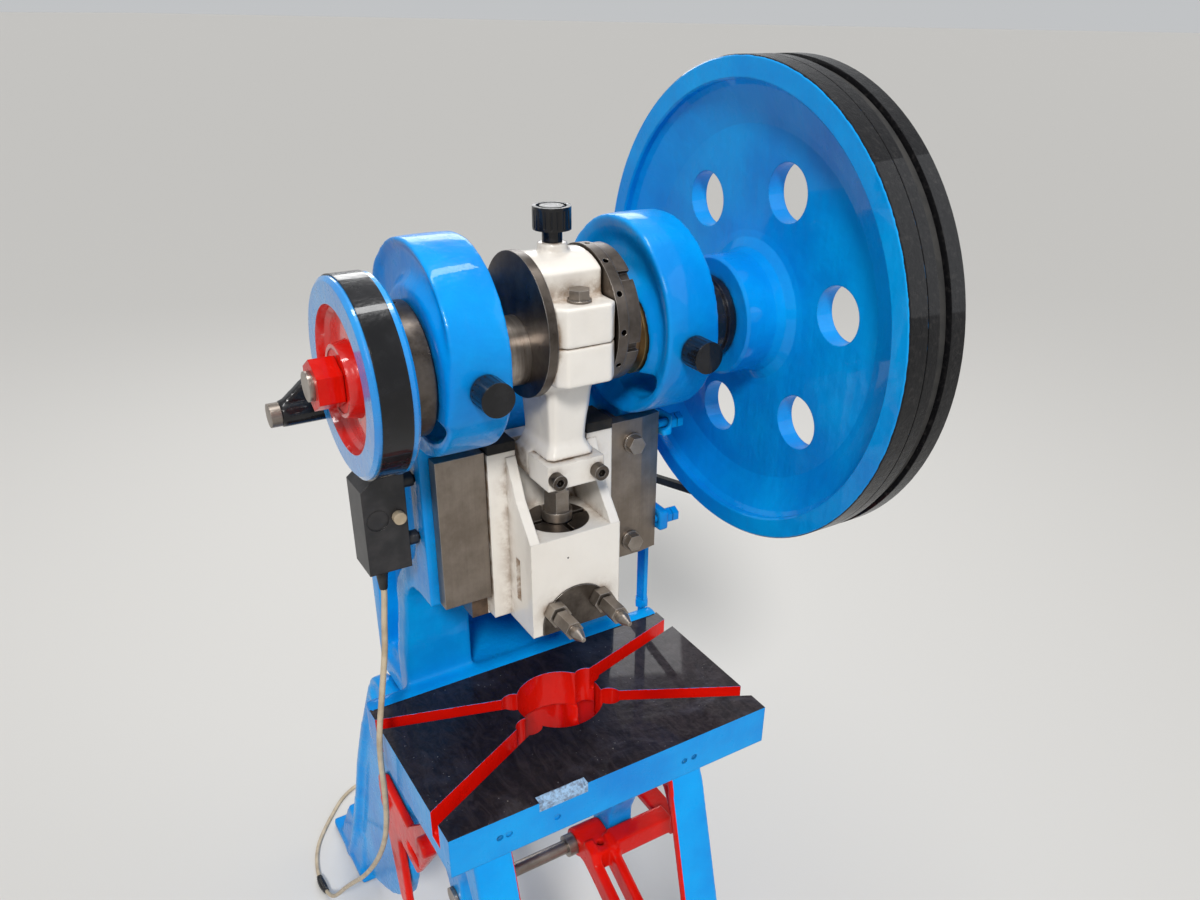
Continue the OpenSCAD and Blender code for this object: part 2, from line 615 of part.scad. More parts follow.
module tool_clamp() color(dark) press() difference() {
  face(ram_front - 1, -0.6) clamp_outline(clamp_r);
  zcyl(ram_low - 40, ram_low + shank_l, shank_r, 0, 0);
  block(-60, 60, ram_front - 5, 0, ram_low - 50, ram_low);
  both() ycyl(ram_front - 5, 1, stud_r + 0.4, studs_x, studs_z);
}

module clamp_studs() color(steel) press() both() {
  ycyl(ram_front - 46, 24, stud_r, studs_x, studs_z);
  yhex(ram_front - 46, ram_front - 18, 19, studs_x, studs_z);
  ycyl(ram_front - 54, ram_front - 45, 7, studs_x, studs_z);
  translate([studs_x, ram_front - 54, studs_z]) rotate([90, 0, 0]) cylinder(h = 12, r1 = 7, r2 = 2.5);
}

module clamp_nuts() color(steel) press() both() difference() {
  yhex(ram_front - 15, ram_front - 1, 24, studs_x, studs_z);
  ycyl(ram_front - 16, ram_front, stud_r + seat, studs_x, studs_z);
}

module left_gib() color(steel) press()
  block(-channel - 37, -gib_in - 2, seat_y - 16, seat_y, gib_low, gib_top);

module right_gib() color(steel) press() difference() {
  translate([0, 0, gib_low]) linear_extrude(gib_top - gib_low)
    polygon([[gib_in, seat_y - 16], [channel + 22, seat_y - 16], [cheek_out - 2, seat_y - 12],
      [cheek_out - 2, seat_y], [gib_in, seat_y]]);
  for (z = bolt_zs) ycyl(seat_y - 18, seat_y + 2, gib_bolt_r + 0.4, bolt_x, z);
}

module gib_bolts() color(steel) press() for (z = bolt_zs) {
  ycyl(seat_y - 20, seat_y + 30, gib_bolt_r, bolt_x, z);
  ycyl(seat_y - 18.5, seat_y - 16, 12, bolt_x, z);
  yhex(seat_y - 28, seat_y - 18.5, 19, bolt_x, z);
}

module gib_adjusting_screws() color(blue) press() for (z = lug_zs) {
  xcyl(cheek_out - 1.8, cheek_out + 28, lug_r, seat_y - 8, z);
  xhex(cheek_out + 14, cheek_out + 21, 17, seat_y - 8, z);
  xhex(cheek_out + 22, cheek_out + 30, 17, seat_y - 8, z);
}

module flywheel() color(blue) press() difference() {
  xrev(0, axis_up) polygon([[hub_bore, hub_x0], [hub_r - 3, hub_x0], [hub_r, hub_x0 + 3],
    [hub_r, web_x0 - 17], [hub_r + 4, web_x0 - 7], [hub_r + 14, web_x0 - 1], [hub_r + 22, web_x0],
    [wheel_r - 66.7, web_x0], [wheel_r - 56.7, web_x0 - 3], [wheel_r - 28.7, web_x0 - 14],
    [wheel_r - 23.7, web_x0 - 19], [wheel_r - 23.7, wheel_x0 + 2], [wheel_r - 21.7, wheel_x0],
    [wheel_r - 2, wheel_x0], [wheel_r, wheel_x0 + 2], [wheel_r, wheel_x0 + 24.3],
    [wheel_r - 2, wheel_x0 + 25], [wheel_r, wheel_x0 + 25.7], [wheel_r, groove_x - 8],
    [groove_r, groove_x - 5], [groove_r, groove_x + 5], [wheel_r, groove_x + 8],
    [wheel_r, wheel_x1 - 2], [wheel_r - 2, wheel_x1], [wheel_r - 26.7, wheel_x1],
    [wheel_r - 32.7, web_x1 + 6], [wheel_r - 58.7, web_x1 + 1], [hub_r + 20, web_x1],
    [hub_r + 4, web_x1 + 4], [hub_r, hub_x1], [hub_bore, hub_x1]]);
  for (a = [48.6:60:350])
    xcyl(web_x0 - 15, web_x1 + 14, wheel_hole, wheel_pitch * cos(a), axis_up + wheel_pitch * sin(a));
}

module flywheel_bush() color([0.7, 0.5, 0.25]) press() difference() {
  xcyl(hub_x0 + 0.3, hub_x1 - 0.3, hub_bore - seat, 0, axis_up);
  xcyl(hub_x0 - 1, hub_x1 + 1, shaft_r + 0.06, 0, axis_up);
}

module flywheel_cap() color(dark) press() difference() {
  xcyl(hub_x1 + 0.6, hub_x1 + 9, hub_r - 10, 0, axis_up);
  for (a = [90, 210, 330]) xcyl(hub_x1, hub_x1 + 10, 4.3, 20 * cos(a), axis_up + 20 * sin(a));
}

module cap_screws() color(steel) press() for (a = [90, 210, 330]) {
  xcyl(hub_x1 - 18, hub_x1 + 10, 4, 20 * cos(a), axis_up + 20 * sin(a));
  xhex(hub_x1 + 9, hub_x1 + 15, 13, 20 * cos(a), axis_up + 20 * sin(a));
}

module clutch_collar() color(black) press() difference() {
  union() {
    xrev(0, axis_up) polygon([[shaft_r + seat, boss_out + 2.8], [shaft_r + 9, boss_out + 2.8],
      [shaft_r + 11, boss_out + 5], [shaft_r + 11, boss_out + 14], [shaft_r + 8, boss_out + 16],
      [shaft_r + 8, boss_out + 19], [shaft_r + 11, boss_out + 21], [shaft_r + 11, hub_x0 - 16],
      [shaft_r + 8, hub_x0 - 14], [shaft_r + 8, hub_x0 - 12], [shaft_r + 11, hub_x0 - 10],
      [shaft_r + 11, hub_x0 - 3], [shaft_r + 9, hub_x0 - 0.3], [shaft_r + seat, hub_x0 - 0.3]]);
    block(latch_x - 5.5, latch_x + 5.5, -7, 7, axis_up - shaft_r - 18, axis_up - shaft_r - 7);
  }
  xcyl(boss_out, hub_x0 + 1, shaft_r + seat, 0, axis_up);
}

module latch_bracket() color(blue) press() {
  block(cheek_out, latch_x - 7, trip_y - 26, trip_y + 4, trip_z - 12, trip_z + 7.5);
  xcyl(cheek_out + 2, latch_x - 7, 11, trip_y, trip_z);
  xcyl(channel + 27, cheek_out + 1, 4, trip_y - 14, trip_z);
  xcyl(latch_x - 7.5, latch_x + 9.5, latch_pin_r, trip_y, trip_z);
  xcyl(latch_x + 7, latch_x + 11.5, 9, trip_y, trip_z);
}

module trip_latch() color(dark) press() difference() {
  union() {
    side(latch_x - 6, latch_x + 6) translate([trip_y, trip_z]) {
      polygon([[0, -11], [rod_y - trip_y + 9, -9], [rod_y - trip_y + 9, 9], [0, 11], [-34, 17],
        [-48, 25], [-50, 43], [-64, 43], [-66, 15], [-40, 1]]);
      circle(r = 14);
    }
    xcyl(latch_x - 6.7, latch_x + 6.7, 11, trip_y, trip_z);
  }
  xcyl(latch_x - 12, latch_x + 18, latch_pin_r + fit, trip_y, trip_z);
  xcyl(latch_x - 12, latch_x + 18, rod_eye_r, rod_y, trip_z);
}

module trip_rod() color(blue) press() {
  zcyl(pedal_z - 36, 12, trip_rod_r, rod_x, rod_y);
  block(rod_x - 3, rod_x + 3, rod_y - 9, rod_y + 9, 10, trip_z + 8);
  xcyl(latch_x - 8.5, rod_x + 3, rod_pin_r, rod_y, trip_z);
  zhex(-2, 10, 17, rod_x, rod_y);
}

module rod_block() color(blue) press() difference() {
  union() {
    block(rod_x - 12, rod_x + 12, rod_y - 12, rod_y + 12, pedal_z + 8, pedal_z + 30);
    ycyl(rod_y - 22, rod_y - 12, 7, rod_x, pedal_z + 19);
  }
  zcyl(pedal_z + 7, pedal_z + 31, trip_rod_r + seat, rod_x, rod_y);
}

module treadle() color(red) press() difference() {
  union() {
    xcyl(50, 96.4, 22, pedal_y, pedal_z);
    block(50, 96, 6, pedal_y, pedal_z - 14, pedal_z + 21);
    block(90, rod_x - 18, 4, 34, pedal_z - 2, pedal_z + 30);
    block(rod_x - 20, rod_x + 12, 4, 100, pedal_z - 8, pedal_z + 6);
    block(rod_x - 12, rod_x + 12, 90, rod_y, pedal_z - 16, pedal_z);
    xcyl(rod_x - 12, rod_x + 12, 8, rod_y, pedal_z - 1);
    for (x = [50, 82]) side(x, x + 14) translate([0, pedal_z]) polygon([[30, 30], [40, -10],
      [8, -26], [-190, -132], [-270, -210], [-292, -202], [-205, -102], [0, 8], [8, 22]]);
    side(42, 106) translate([0, pedal_z]) polygon([[-240, -218], [-250, -228], [front_end, -198],
      [front_end, -186]]);
  }
  xcyl(49, 97, pedal_r + fit, pedal_y, pedal_z);
  block(rod_x - 6, rod_x + 6, rod_y - 18, rod_y + 20, pedal_z - 30, pedal_z + 20);
  zcyl(pedal_z, pedal_z + 30, 5, 74, 24);
}

module treadle_shaft() color(steel) press() {
  xcyl(-leg_in - 5, leg_in + 5, pedal_r, pedal_y, pedal_z);
  xcyl(36, 49.6, 16, pedal_y, pedal_z);
  both() xcyl(leg_in, leg_in + 6, 15, pedal_y, pedal_z);
}

module treadle_hanger() color(red) press() difference() {
  union() {
    side(-leg_web - 12, -leg_web) polygon([[26, apex_z - 39], [44, apex_z - 25], [66, apex_z - 31],
      [150, leg_top - 207], [250, leg_top - 193], [272, leg_top - 207], [276, leg_top - 231],
      [232, leg_top - 425], [216, leg_top - 437], [196, leg_top - 425], [206, leg_top - 289],
      [196, leg_top - 275], [130, leg_top - 281], [104, leg_top - 245]]);
    xcyl(-leg_web - 30, -leg_web - 11, 15, 47, apex_z - 49);
    xcyl(-leg_web - 18, -leg_web - 11, 12, 240, leg_top - 235);
  }
  side(-leg_web - 13, -leg_web + 1) translate([118, leg_top - 257]) square([40, 16]);
}

module starter_box() color(black) press() difference() {
  union() {
    face(40, 85) polygon([[box_x0, box_zs[0] - 28], [box_x1, box_zs[0] - 28],
      [box_x1, box_zs[1] + 20], [box_x1 - 24, box_zs[1] + 20], [box_x0, box_zs[1] + 2]]);
    for (z = box_zs) {
      xcyl(box_x1 - 1, -cheek_out, 8, 52, z);
      xcyl(-cheek_out - 1, -channel - 27, 4, 52, z);
    }
  }
  ycyl(39, 53, button_r + 0.2, button_x, button_z);
  ycyl(39, 42, 12, box_x0 + 15, button_z);
  zcyl(box_zs[0] - 30, box_zs[0] - 18, 4, box_x1 - 28, 62);
}

module start_button() color(beige) press() ycyl(33, 49.5, button_r, button_x, button_z);

module cable_gland() color(black) press() translate([box_x1 - 28, 62, box_zs[0]]) difference() {
  union() {
    zhex(-37, -28, 17, 0, 0);
    translate([0, 0, -60]) cylinder(h = 23, r1 = 4.6, r2 = 7);
  }
  zcyl(-70, -27, 3.9, 0, 0);
}

function unit(v) = v / norm(v);
function ring_dir(p, i) = unit(p[min(i + 1, len(p) - 1)] - p[max(i - 1, 0)]);
function side_dir(d) = unit(cross(d, abs(d[0]) < 0.9 ? [1, 0, 0] : [0, 1, 0]));
function smooth(p, t, i) = 0.5 * ((2 * p[i]) + (p[i + 1] - p[max(i - 1, 0)]) * t
  + (2 * p[max(i - 1, 0)] - 5 * p[i] + 4 * p[i + 1] - p[min(i + 2, len(p) - 1)]) * t * t
  + (3 * p[i] - p[max(i - 1, 0)] - 3 * p[i + 1] + p[min(i + 2, len(p) - 1)]) * t * t * t);
function refine(p, n) = [for (i = [0:len(p) - 2]) for (k = [0:n - 1]) smooth(p, k / n, i), p[len(p) - 1]];

module tube(pts, r, n) {
  v = [for (i = [0:len(pts) - 1]) let (d = ring_dir(pts, i), a = side_dir(d), b = cross(d, a))
    for (k = [0:n - 1]) pts[i] + r * (a * cos(360 * k / n) + b * sin(360 * k / n))];
  m = len(pts);
  f = [for (i = [0:m - 2]) for (k = [0:n - 1]) let (q = (k + 1) % n)
    each [[i * n + k, i * n + q, (i + 1) * n + k], [i * n + q, (i + 1) * n + q, (i + 1) * n + k]]];
  caps = [[for (k = [n - 1:-1:0]) k], [for (k = [0:n - 1]) (m - 1) * n + k]];
  polyhedron(points = v, faces = concat(f, caps), convexity = 10);
}

module mains_cable() color(beige) press() tube(refine(cable_pts, 3), cable_r, 10);

module cable_coil() color(beige) press() translate([coil_x, coil_y, floor_z]) rotate_extrude() {
  for (i = [-1:1]) translate([coil_r + i * turn_step, turn_r]) circle(r = turn_r);
  for (i = [-0.5, 0.5]) translate([coil_r + i * turn_step, turn_r + 6]) circle(r = turn_r);
}

module plug() color(beige) press() translate([coil_x - coil_r - turn_step - 6.4, coil_y, floor_z]) {
  translate([0, -4, 9]) rotate([90, 0, 0]) cylinder(h = 36, r1 = 4.3, r2 = 7);
  translate([-15, -79, 0]) cube([30, 42, 18]);
  for (x = [-9.5, 9.5]) translate([x, -78, 9]) rotate([90, 0, 0]) cylinder(h = 19, r = 2.4);
}

module motor() color(grey) press() difference() {
  union() {
    xcyl(60, 196, 70, motor_y, motor_z);
    xcyl(48, 61, 74, motor_y, motor_z);
    xcyl(195, 210, 74, motor_y, motor_z);
    for (a = [0:15:345]) translate([64, motor_y, motor_z]) rotate([a, 0, 0]) block(0, 128, 60, 78, -1.5, 1.5);
    for (x = [70, 150]) block(x, x + 40, motor_y - 62, motor_y + 62, shelf_z + 12, shelf_z + 24);
    block(70, 190, motor_y - 40, motor_y + 40, shelf_z + 12, motor_z - 50);
    block(90, 170, motor_y - 30, motor_y + 30, motor_z + 60, motor_z + 92);
  }
  xcyl(190, 211, motor_shaft_r + fit, motor_y, motor_z);
}

module motor_plate() color(blue) press() difference() {
  union() {
    block(40, 136, 250, 262, shelf_z - 92, shelf_z + 12);
    block(40, 200, 262, motor_y + 76, shelf_z, shelf_z + 12);
    for (x = [40, 129]) side(x, x + 7)
      polygon([[261, shelf_z + 1], [261, shelf_z - 88], [280, shelf_z - 88], [motor_y + 10, shelf_z + 1]]);
  }
  for (z = plate_zs) for (x = plate_xs) ycyl(249, 263, plate_bolt_r + 0.1, x, z);
}

module plate_bolts() color(steel) press() {
  for (z = plate_zs) for (x = plate_xs) {
    ycyl(232, 263, plate_bolt_r, x, z);
    yhex(262, 270, 17, x, z);
  }
}

module motor_pulley() color(black) press() {
  xcyl(191, groove_x + 15, motor_shaft_r, motor_y, motor_z);
  xrev(motor_y, motor_z) polygon([[motor_shaft_r - 1, groove_x - 14],
    [pulley_r + groove_d, groove_x - 14], [pulley_r + groove_d, groove_x - 8], [pulley_r, groove_x - 5],
    [pulley_r, groove_x + 5], [pulley_r + groove_d, groove_x + 8],
    [pulley_r + groove_d, groove_x + 13], [motor_shaft_r - 1, groove_x + 13]]);
}

function arc_pts(c, r, a0, a1, n) = [for (i = [0:n]) let (a = a0 + (a1 - a0) * i / n)
  [c[0] + r * cos(a), c[1] + r * sin(a)]];

module belt_line(e) {
  p = atan2(motor_z - axis_up, motor_y);
  a = acos((groove_r - pulley_r) / norm([motor_y, motor_z - axis_up]));
  polygon(concat(arc_pts([0, axis_up], groove_r + e, p + a, p - a + 360, 72),
    arc_pts([motor_y, motor_z], pulley_r + e, p - a, p + a, 18)));
}

module drive_belt() color(black) press() side(groove_x - belt_w / 2, groove_x + belt_w / 2)
  difference() {
    belt_line(belt_gap + belt_t);
    belt_line(belt_gap);
  }

frame_casting();
left_leg();
right_leg();
leg_bolts();
crankshaft();
eccentric_disc();
stroke_ring();
stroke_lock_nut();
main_bushes();
shaft_collar();
brake_drum();
hub_nut();
brake_band();
brake_lining();
brake_bolt();
brake_anchor();
brake_pin();
grease_cups();
pitman();
pitman_cap();
pitman_bolts();
pitman_bush();
oil_cup();
screw_clamp();
clamp_screws();
adjusting_screw();
ball_ring();
ball_seat();
ram();
ram_pads();
tool_clamp();
clamp_studs();
clamp_nuts();
left_gib();
right_gib();
gib_bolts();
gib_adjusting_screws();
flywheel();
flywheel_bush();
flywheel_cap();
cap_screws();
clutch_collar();
latch_bracket();
trip_latch();
trip_rod();
rod_block();
treadle();
treadle_shaft();
treadle_hanger();
starter_box();
start_button();
cable_gland();
mains_cable();
cable_coil();
plug();
motor();
motor_plate();
plate_bolts();
motor_pulley();
drive_belt();
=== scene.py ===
"""Looks of the mechanical stamping press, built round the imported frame. Metres, floor at z = 0."""
import json
import math

import bmesh
import bpy
import numpy as np
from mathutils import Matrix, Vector


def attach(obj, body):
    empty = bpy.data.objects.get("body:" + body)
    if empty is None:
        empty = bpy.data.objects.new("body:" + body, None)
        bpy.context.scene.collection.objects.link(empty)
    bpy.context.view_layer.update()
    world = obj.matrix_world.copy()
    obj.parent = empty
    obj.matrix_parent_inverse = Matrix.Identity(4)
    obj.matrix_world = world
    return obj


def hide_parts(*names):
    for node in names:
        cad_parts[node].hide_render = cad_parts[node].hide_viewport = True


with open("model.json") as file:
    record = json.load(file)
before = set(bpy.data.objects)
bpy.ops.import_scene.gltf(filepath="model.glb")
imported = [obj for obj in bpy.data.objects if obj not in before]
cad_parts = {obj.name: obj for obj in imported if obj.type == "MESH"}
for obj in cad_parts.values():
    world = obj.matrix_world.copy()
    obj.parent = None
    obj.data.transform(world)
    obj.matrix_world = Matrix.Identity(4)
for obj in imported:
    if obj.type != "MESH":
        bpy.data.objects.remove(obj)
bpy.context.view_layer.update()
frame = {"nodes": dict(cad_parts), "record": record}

# The part's source counts from the crank axis (x, y) and from the table top (z), in millimetres.
MID_X, MID_Y, TABLE_Z = 19.0, 160.0, 700.0
CRANK_Z = 460.0


def at(x, y, z):
    """A point of the part's own press coordinates, in millimetres, as a point of the scene."""
    return Vector(((x - MID_X) / 1000, (y - MID_Y) / 1000, (z + TABLE_Z) / 1000))


# Camera, floor and light

IMAGE_W, IMAGE_H = 1200, 900
FOCAL_PX = 975.6
CENTRE_PX = (624.0, 512.5)
SENSOR = 36.0
CAMERA_PLACE = (-451.6, -849.5, 779.7)
CAMERA_TURN = (61.795, -0.960, -31.938)
SKY = (0.86, 0.88, 0.9, 1)
WORLD_STRENGTH = 0.33
BACKDROP_STRENGTH = 0.62
FLOOR_COLOUR = (0.66, 0.65, 0.63, 1)
FLOOR_HALF = 60.0


def make_camera():
    """The photograph's view, from a place in press millimetres and turns in degrees."""
    data = bpy.data.cameras.new("camera")
    data.sensor_width = SENSOR
    data.lens = FOCAL_PX / IMAGE_W * SENSOR
    data.shift_x = (IMAGE_W / 2 - CENTRE_PX[0]) / IMAGE_W
    data.shift_y = (CENTRE_PX[1] - IMAGE_H / 2) / IMAGE_W
    data.clip_end = 50
    cam = bpy.data.objects.new("camera", data)
    cam.location = at(*CAMERA_PLACE)
    cam.rotation_euler = [math.radians(angle) for angle in CAMERA_TURN]
    bpy.context.scene.collection.objects.link(cam)
    bpy.context.scene.camera = cam


def hang(data, place, target):
    """Puts a lamp at a place and turns it towards its target."""
    lamp = bpy.data.objects.new(data.name, data)
    lamp.location = place
    lamp.rotation_euler = (Vector(target) - Vector(place)).to_track_quat("-Z", "Y").to_euler()
    bpy.context.scene.collection.objects.link(lamp)


def area_light(name, place, target, size, power):
    data = bpy.data.lights.new(name, "AREA")
    data.shape = "RECTANGLE"
    data.size, data.size_y = size
    data.energy = power
    hang(data, place, target)


def sun(name, place, strength, spread, tint):
    """A lamp as far away as the sun, shining from place towards the middle of the press."""
    data = bpy.data.lights.new(name, "SUN")
    data.energy = strength
    data.angle = math.radians(spread)
    data.color = tint
    hang(data, place, (0, 0, 0.8))


def make_world():
    """A sky that lights the press, and a paler one that is seen behind it and mirrored in it."""
    world = bpy.data.worlds.new("studio")
    bpy.context.scene.world = world
    world.use_nodes = True
    nodes, link = world.node_tree.nodes, world.node_tree.links.new
    sky, backdrop = nodes["Background"], nodes.new("ShaderNodeBackground")
    for node, strength in ((sky, WORLD_STRENGTH), (backdrop, BACKDROP_STRENGTH)):
        node.inputs["Color"].default_value = SKY
        node.inputs["Strength"].default_value = strength
    rays = nodes.new("ShaderNodeLightPath")
    seen = rays.outputs["Is Camera Ray"]
    for ray in ("Is Glossy Ray", "Is Transmission Ray"):
        either = nodes.new("ShaderNodeMath")
        either.operation = "MAXIMUM"
        link(seen, either.inputs[0])
        link(rays.outputs[ray], either.inputs[1])
        seen = either.outputs[0]
    choose = nodes.new("ShaderNodeMixShader")
    for source, socket in zip((seen, sky.outputs[0], backdrop.outputs[0]), choose.inputs):
        link(source, socket)
    link(choose.outputs[0], nodes["World Output"].inputs["Surface"])


def make_floor():
    mesh = bpy.data.meshes.new("floor")
    corners = [(x * FLOOR_HALF, y * FLOOR_HALF, 0) for x, y in ((-1, -1), (1, -1), (1, 1), (-1, 1))]
    mesh.from_pydata(corners, [], [(0, 1, 2, 3)])
    floor = bpy.data.objects.new("floor", mesh)
    bpy.context.scene.collection.objects.link(floor)
    paint = bpy.data.materials.new("floor")
    paint.use_nodes = True
    look = paint.node_tree.nodes["Principled BSDF"]
    look.inputs["Base Color"].default_value = FLOOR_COLOUR
    look.inputs["Roughness"].default_value = 0.7
    look.inputs["Specular IOR Level"].default_value = 0.2
    mesh.materials.append(paint)


def make_studio():
    bpy.context.scene.view_settings.view_transform = "Standard"
    sun("key", (-1.6, -2.6, 3.4), 2.3, 11, (1, 0.98, 0.95))
    sun("fill", (2.8, -1.6, 2.2), 0.6, 50, (0.95, 0.97, 1))
    area_light("over", (0.1, -0.2, 3.2), (0, 0, 0.8), (1.6, 0.25), 20)
    area_light("rim", (1.2, 2.6, 2.4), (0, 0, 0.9), (1.6, 1.0), 22)
    make_world()
    make_floor()


# Materials


class Graph:
    """A material's node tree, with short calls for the maths that masks need."""

    def __init__(self, name):
        self.mat = bpy.data.materials.new(name)
        self.mat.use_nodes = True
        self.tree = self.mat.node_tree
        self.shader = self.tree.nodes["Principled BSDF"]
        coords = self.tree.nodes.new("ShaderNodeTexCoord")
        self.place = coords.outputs["Object"]
        split = self.tree.nodes.new("ShaderNodeSeparateXYZ")
        self.link(self.place, split.inputs[0])
        self.x, self.y, self.z = split.outputs

    def link(self, a, b):
        self.tree.links.new(a, b)

    def feed(self, socket, value):
        if hasattr(value, "is_output"):
            self.link(value, socket)
        else:
            socket.default_value = value

    def math(self, op, *values):
        node = self.tree.nodes.new("ShaderNodeMath")
        node.operation = op
        for socket, value in zip(node.inputs, values):
            self.feed(socket, value)
        return node.outputs[0]

    def add(self, a, b):
        return self.math("ADD", a, b)

    def sub(self, a, b):
        return self.math("SUBTRACT", a, b)

    def mul(self, a, b):
        return self.math("MULTIPLY", a, b)

    def abs(self, a):
        return self.math("ABSOLUTE", a)

    def less(self, a, b):
        return self.math("LESS_THAN", a, b)

    def more(self, a, b):
        return self.math("GREATER_THAN", a, b)

    def most(self, a, b):
        return self.math("MAXIMUM", a, b)

    def least(self, a, b):
        return self.math("MINIMUM", a, b)

    def flip(self, a):
        return self.math("SUBTRACT", 1.0, a)

    def length(self, a, b):
        return self.math("SQRT", self.add(self.mul(a, a), self.mul(b, b)))

    def crank_radius(self):
        """Distance from the crank's axis, in metres."""
        axis = at(0, 0, CRANK_Z)
        return self.length(self.sub(self.y, axis.y), self.sub(self.z, axis.z))

    def both(self, *masks):
        out = masks[0]
        for mask in masks[1:]:
            out = self.mul(out, mask)
        return out

    def step(self, value, low, high):
        node = self.tree.nodes.new("ShaderNodeMapRange")
        node.interpolation_type = "SMOOTHSTEP"
        self.feed(node.inputs["Value"], value)
        node.inputs["From Min"].default_value = low
        node.inputs["From Max"].default_value = high
        return node.outputs["Result"]

    def scale(self, value, low, high, to_low, to_high):
        node = self.tree.nodes.new("ShaderNodeMapRange")
        self.feed(node.inputs["Value"], value)
        for key, number in zip(("From Min", "From Max", "To Min", "To Max"), (low, high, to_low, to_high)):
            node.inputs[key].default_value = number
        return node.outputs["Result"]

    def stretched(self, factors, turn=(0, 0, 0)):
        node = self.tree.nodes.new("ShaderNodeMapping")
        self.link(self.place, node.inputs["Vector"])
        node.inputs["Scale"].default_value = factors
        node.inputs["Rotation"].default_value = turn
        return node.outputs["Vector"]

    def noise(self, size, detail=3.0, rough=0.55, vector=None, warp=0.0):
        """Noise from 0 to 1 whose lumps are about size metres across."""
        node = self.tree.nodes.new("ShaderNodeTexNoise")
        self.link(vector or self.place, node.inputs["Vector"])
        node.inputs["Scale"].default_value = 1 / size
        node.inputs["Detail"].default_value = detail
        node.inputs["Roughness"].default_value = rough
        node.inputs["Distortion"].default_value = warp
        return node.outputs["Fac"]

    def cells(self, size):
        """Distance to the nearest of points about size metres apart."""
        node = self.tree.nodes.new("ShaderNodeTexVoronoi")
        self.link(self.place, node.inputs["Vector"])
        node.inputs["Scale"].default_value = 1 / size
        return node.outputs["Distance"]

    def mix(self, amount, a, b):
        node = self.tree.nodes.new("ShaderNodeMix")
        node.data_type = "RGBA"
        self.feed(node.inputs["Factor"], amount)
        for socket, value in ((node.inputs[6], a), (node.inputs[7], b)):
            self.feed(socket, value if hasattr(value, "is_output") else (*value, 1))
        return node.outputs[2]

    def hollow(self, reach):
        """1 in the open, lower in corners."""
        node = self.tree.nodes.new("ShaderNodeAmbientOcclusion")
        node.samples = 4
        node.inputs["Distance"].default_value = reach
        return node.outputs["AO"]

    def rounded(self, radius):
        node = self.tree.nodes.new("ShaderNodeBevel")
        node.samples = 4
        node.inputs["Radius"].default_value = radius
        return node.outputs["Normal"]

    def edges(self, radius):
        """1 on sharp edges, 0 on flats."""
        flat = self.tree.nodes.new("ShaderNodeNewGeometry")
        dot = self.tree.nodes.new("ShaderNodeVectorMath")
        dot.operation = "DOT_PRODUCT"
        self.link(self.rounded(radius), dot.inputs[0])
        self.link(flat.outputs["Normal"], dot.inputs[1])
        return self.step(dot.outputs["Value"], 0.99, 0.8)

    def normal(self):
        flat = self.tree.nodes.new("ShaderNodeNewGeometry")
        split = self.tree.nodes.new("ShaderNodeSeparateXYZ")
        self.link(flat.outputs["Normal"], split.inputs[0])
        return split.outputs

    def bump(self, height, depth, base=None):
        node = self.tree.nodes.new("ShaderNodeBump")
        node.inputs["Strength"].default_value = 1.0
        node.inputs["Distance"].default_value = depth
        self.link(height, node.inputs["Height"])
        if base is not None:
            self.link(base, node.inputs["Normal"])
        return node.outputs["Normal"]

    def finish(self, colour, rough, metal=0.0, normal=None, coat=0.0, coat_rough=0.05, specular=0.5):
        look = self.shader.inputs
        self.feed(look["Base Color"], colour if hasattr(colour, "is_output") else (*colour, 1))
        self.feed(look["Roughness"], rough)
        self.feed(look["Metallic"], metal)
        look["Specular IOR Level"].default_value = specular
        look["Coat Weight"].default_value = coat
        look["Coat Roughness"].default_value = coat_rough
        if normal is not None:
            self.link(normal, look["Normal"])
        return self.mat


def brushed_paint(g, bright, deep, shade_and_wear, edge_amount=0.35):
    """Colour of brush-laid enamel: broad tone changes, thin spots, painted shade in patches in its corners,
    worn edges.
    """
    tone = g.mix(g.step(g.noise(0.16, 4), 0.3, 0.7), bright, deep)
    brush = g.noise(0.03, 5, 0.7, g.stretched((1, 1, 0.12)))
    tone = g.mix(g.mul(g.step(brush, 0.55, 0.8), 0.25), tone, deep)
    # Painted shade: corners found by the hollow test are darkened in patches towards the dark colour, which
    # also colours the worn edges.
    painted_corner_shade = g.mul(g.flip(g.step(g.hollow(0.012), 0.25, 0.8)), g.step(g.noise(0.02, 5), 0.3, 0.6))
    tone = g.mix(g.mul(painted_corner_shade, 0.55), tone, shade_and_wear)
    worn = g.both(g.edges(0.0016), g.step(g.noise(0.009, 6, 0.7), 0.52, 0.66))
    return g.mix(g.mul(worn, edge_amount), tone, shade_and_wear)


def paint_relief(g, rough_cast=0.0006):
    """Normal of thick glossy paint on a cast surface: waves, orange peel and runs."""
    waves = g.add(g.mul(g.noise(0.05, 2), 1.0), g.mul(g.noise(0.014, 2), 0.35))
    runs = g.mul(g.noise(0.02, 2, 0.5, g.stretched((1.6, 1.6, 0.25))), 0.45)
    broad = g.bump(g.add(waves, runs), rough_cast * 3, g.rounded(0.0022))
    return g.bump(g.noise(0.0035, 3), 0.00012, broad)


# Each paint's third colour is the painted shade in its corners and also the colour of its worn edges.
BLUE, DEEP_BLUE, BLUE_SHADE_AND_WEAR = (0.001, 0.36, 0.86), (0.001, 0.225, 0.68), (0.02, 0.022, 0.025)
RED, DEEP_RED, RED_SHADE_AND_WEAR = (0.80, 0.010, 0.003), (0.5, 0.004, 0.002), (0.05, 0.01, 0.01)
WHITE, DEEP_WHITE, WHITE_SHADE_AND_WEAR = (0.86, 0.825, 0.77), (0.78, 0.735, 0.67), (0.16, 0.09, 0.045)
OIL = (0.20, 0.105, 0.04)


def blue_coat(g):
    return brushed_paint(g, BLUE, DEEP_BLUE, BLUE_SHADE_AND_WEAR)


def red_coat(g):
    return brushed_paint(g, RED, DEEP_RED, RED_SHADE_AND_WEAR)


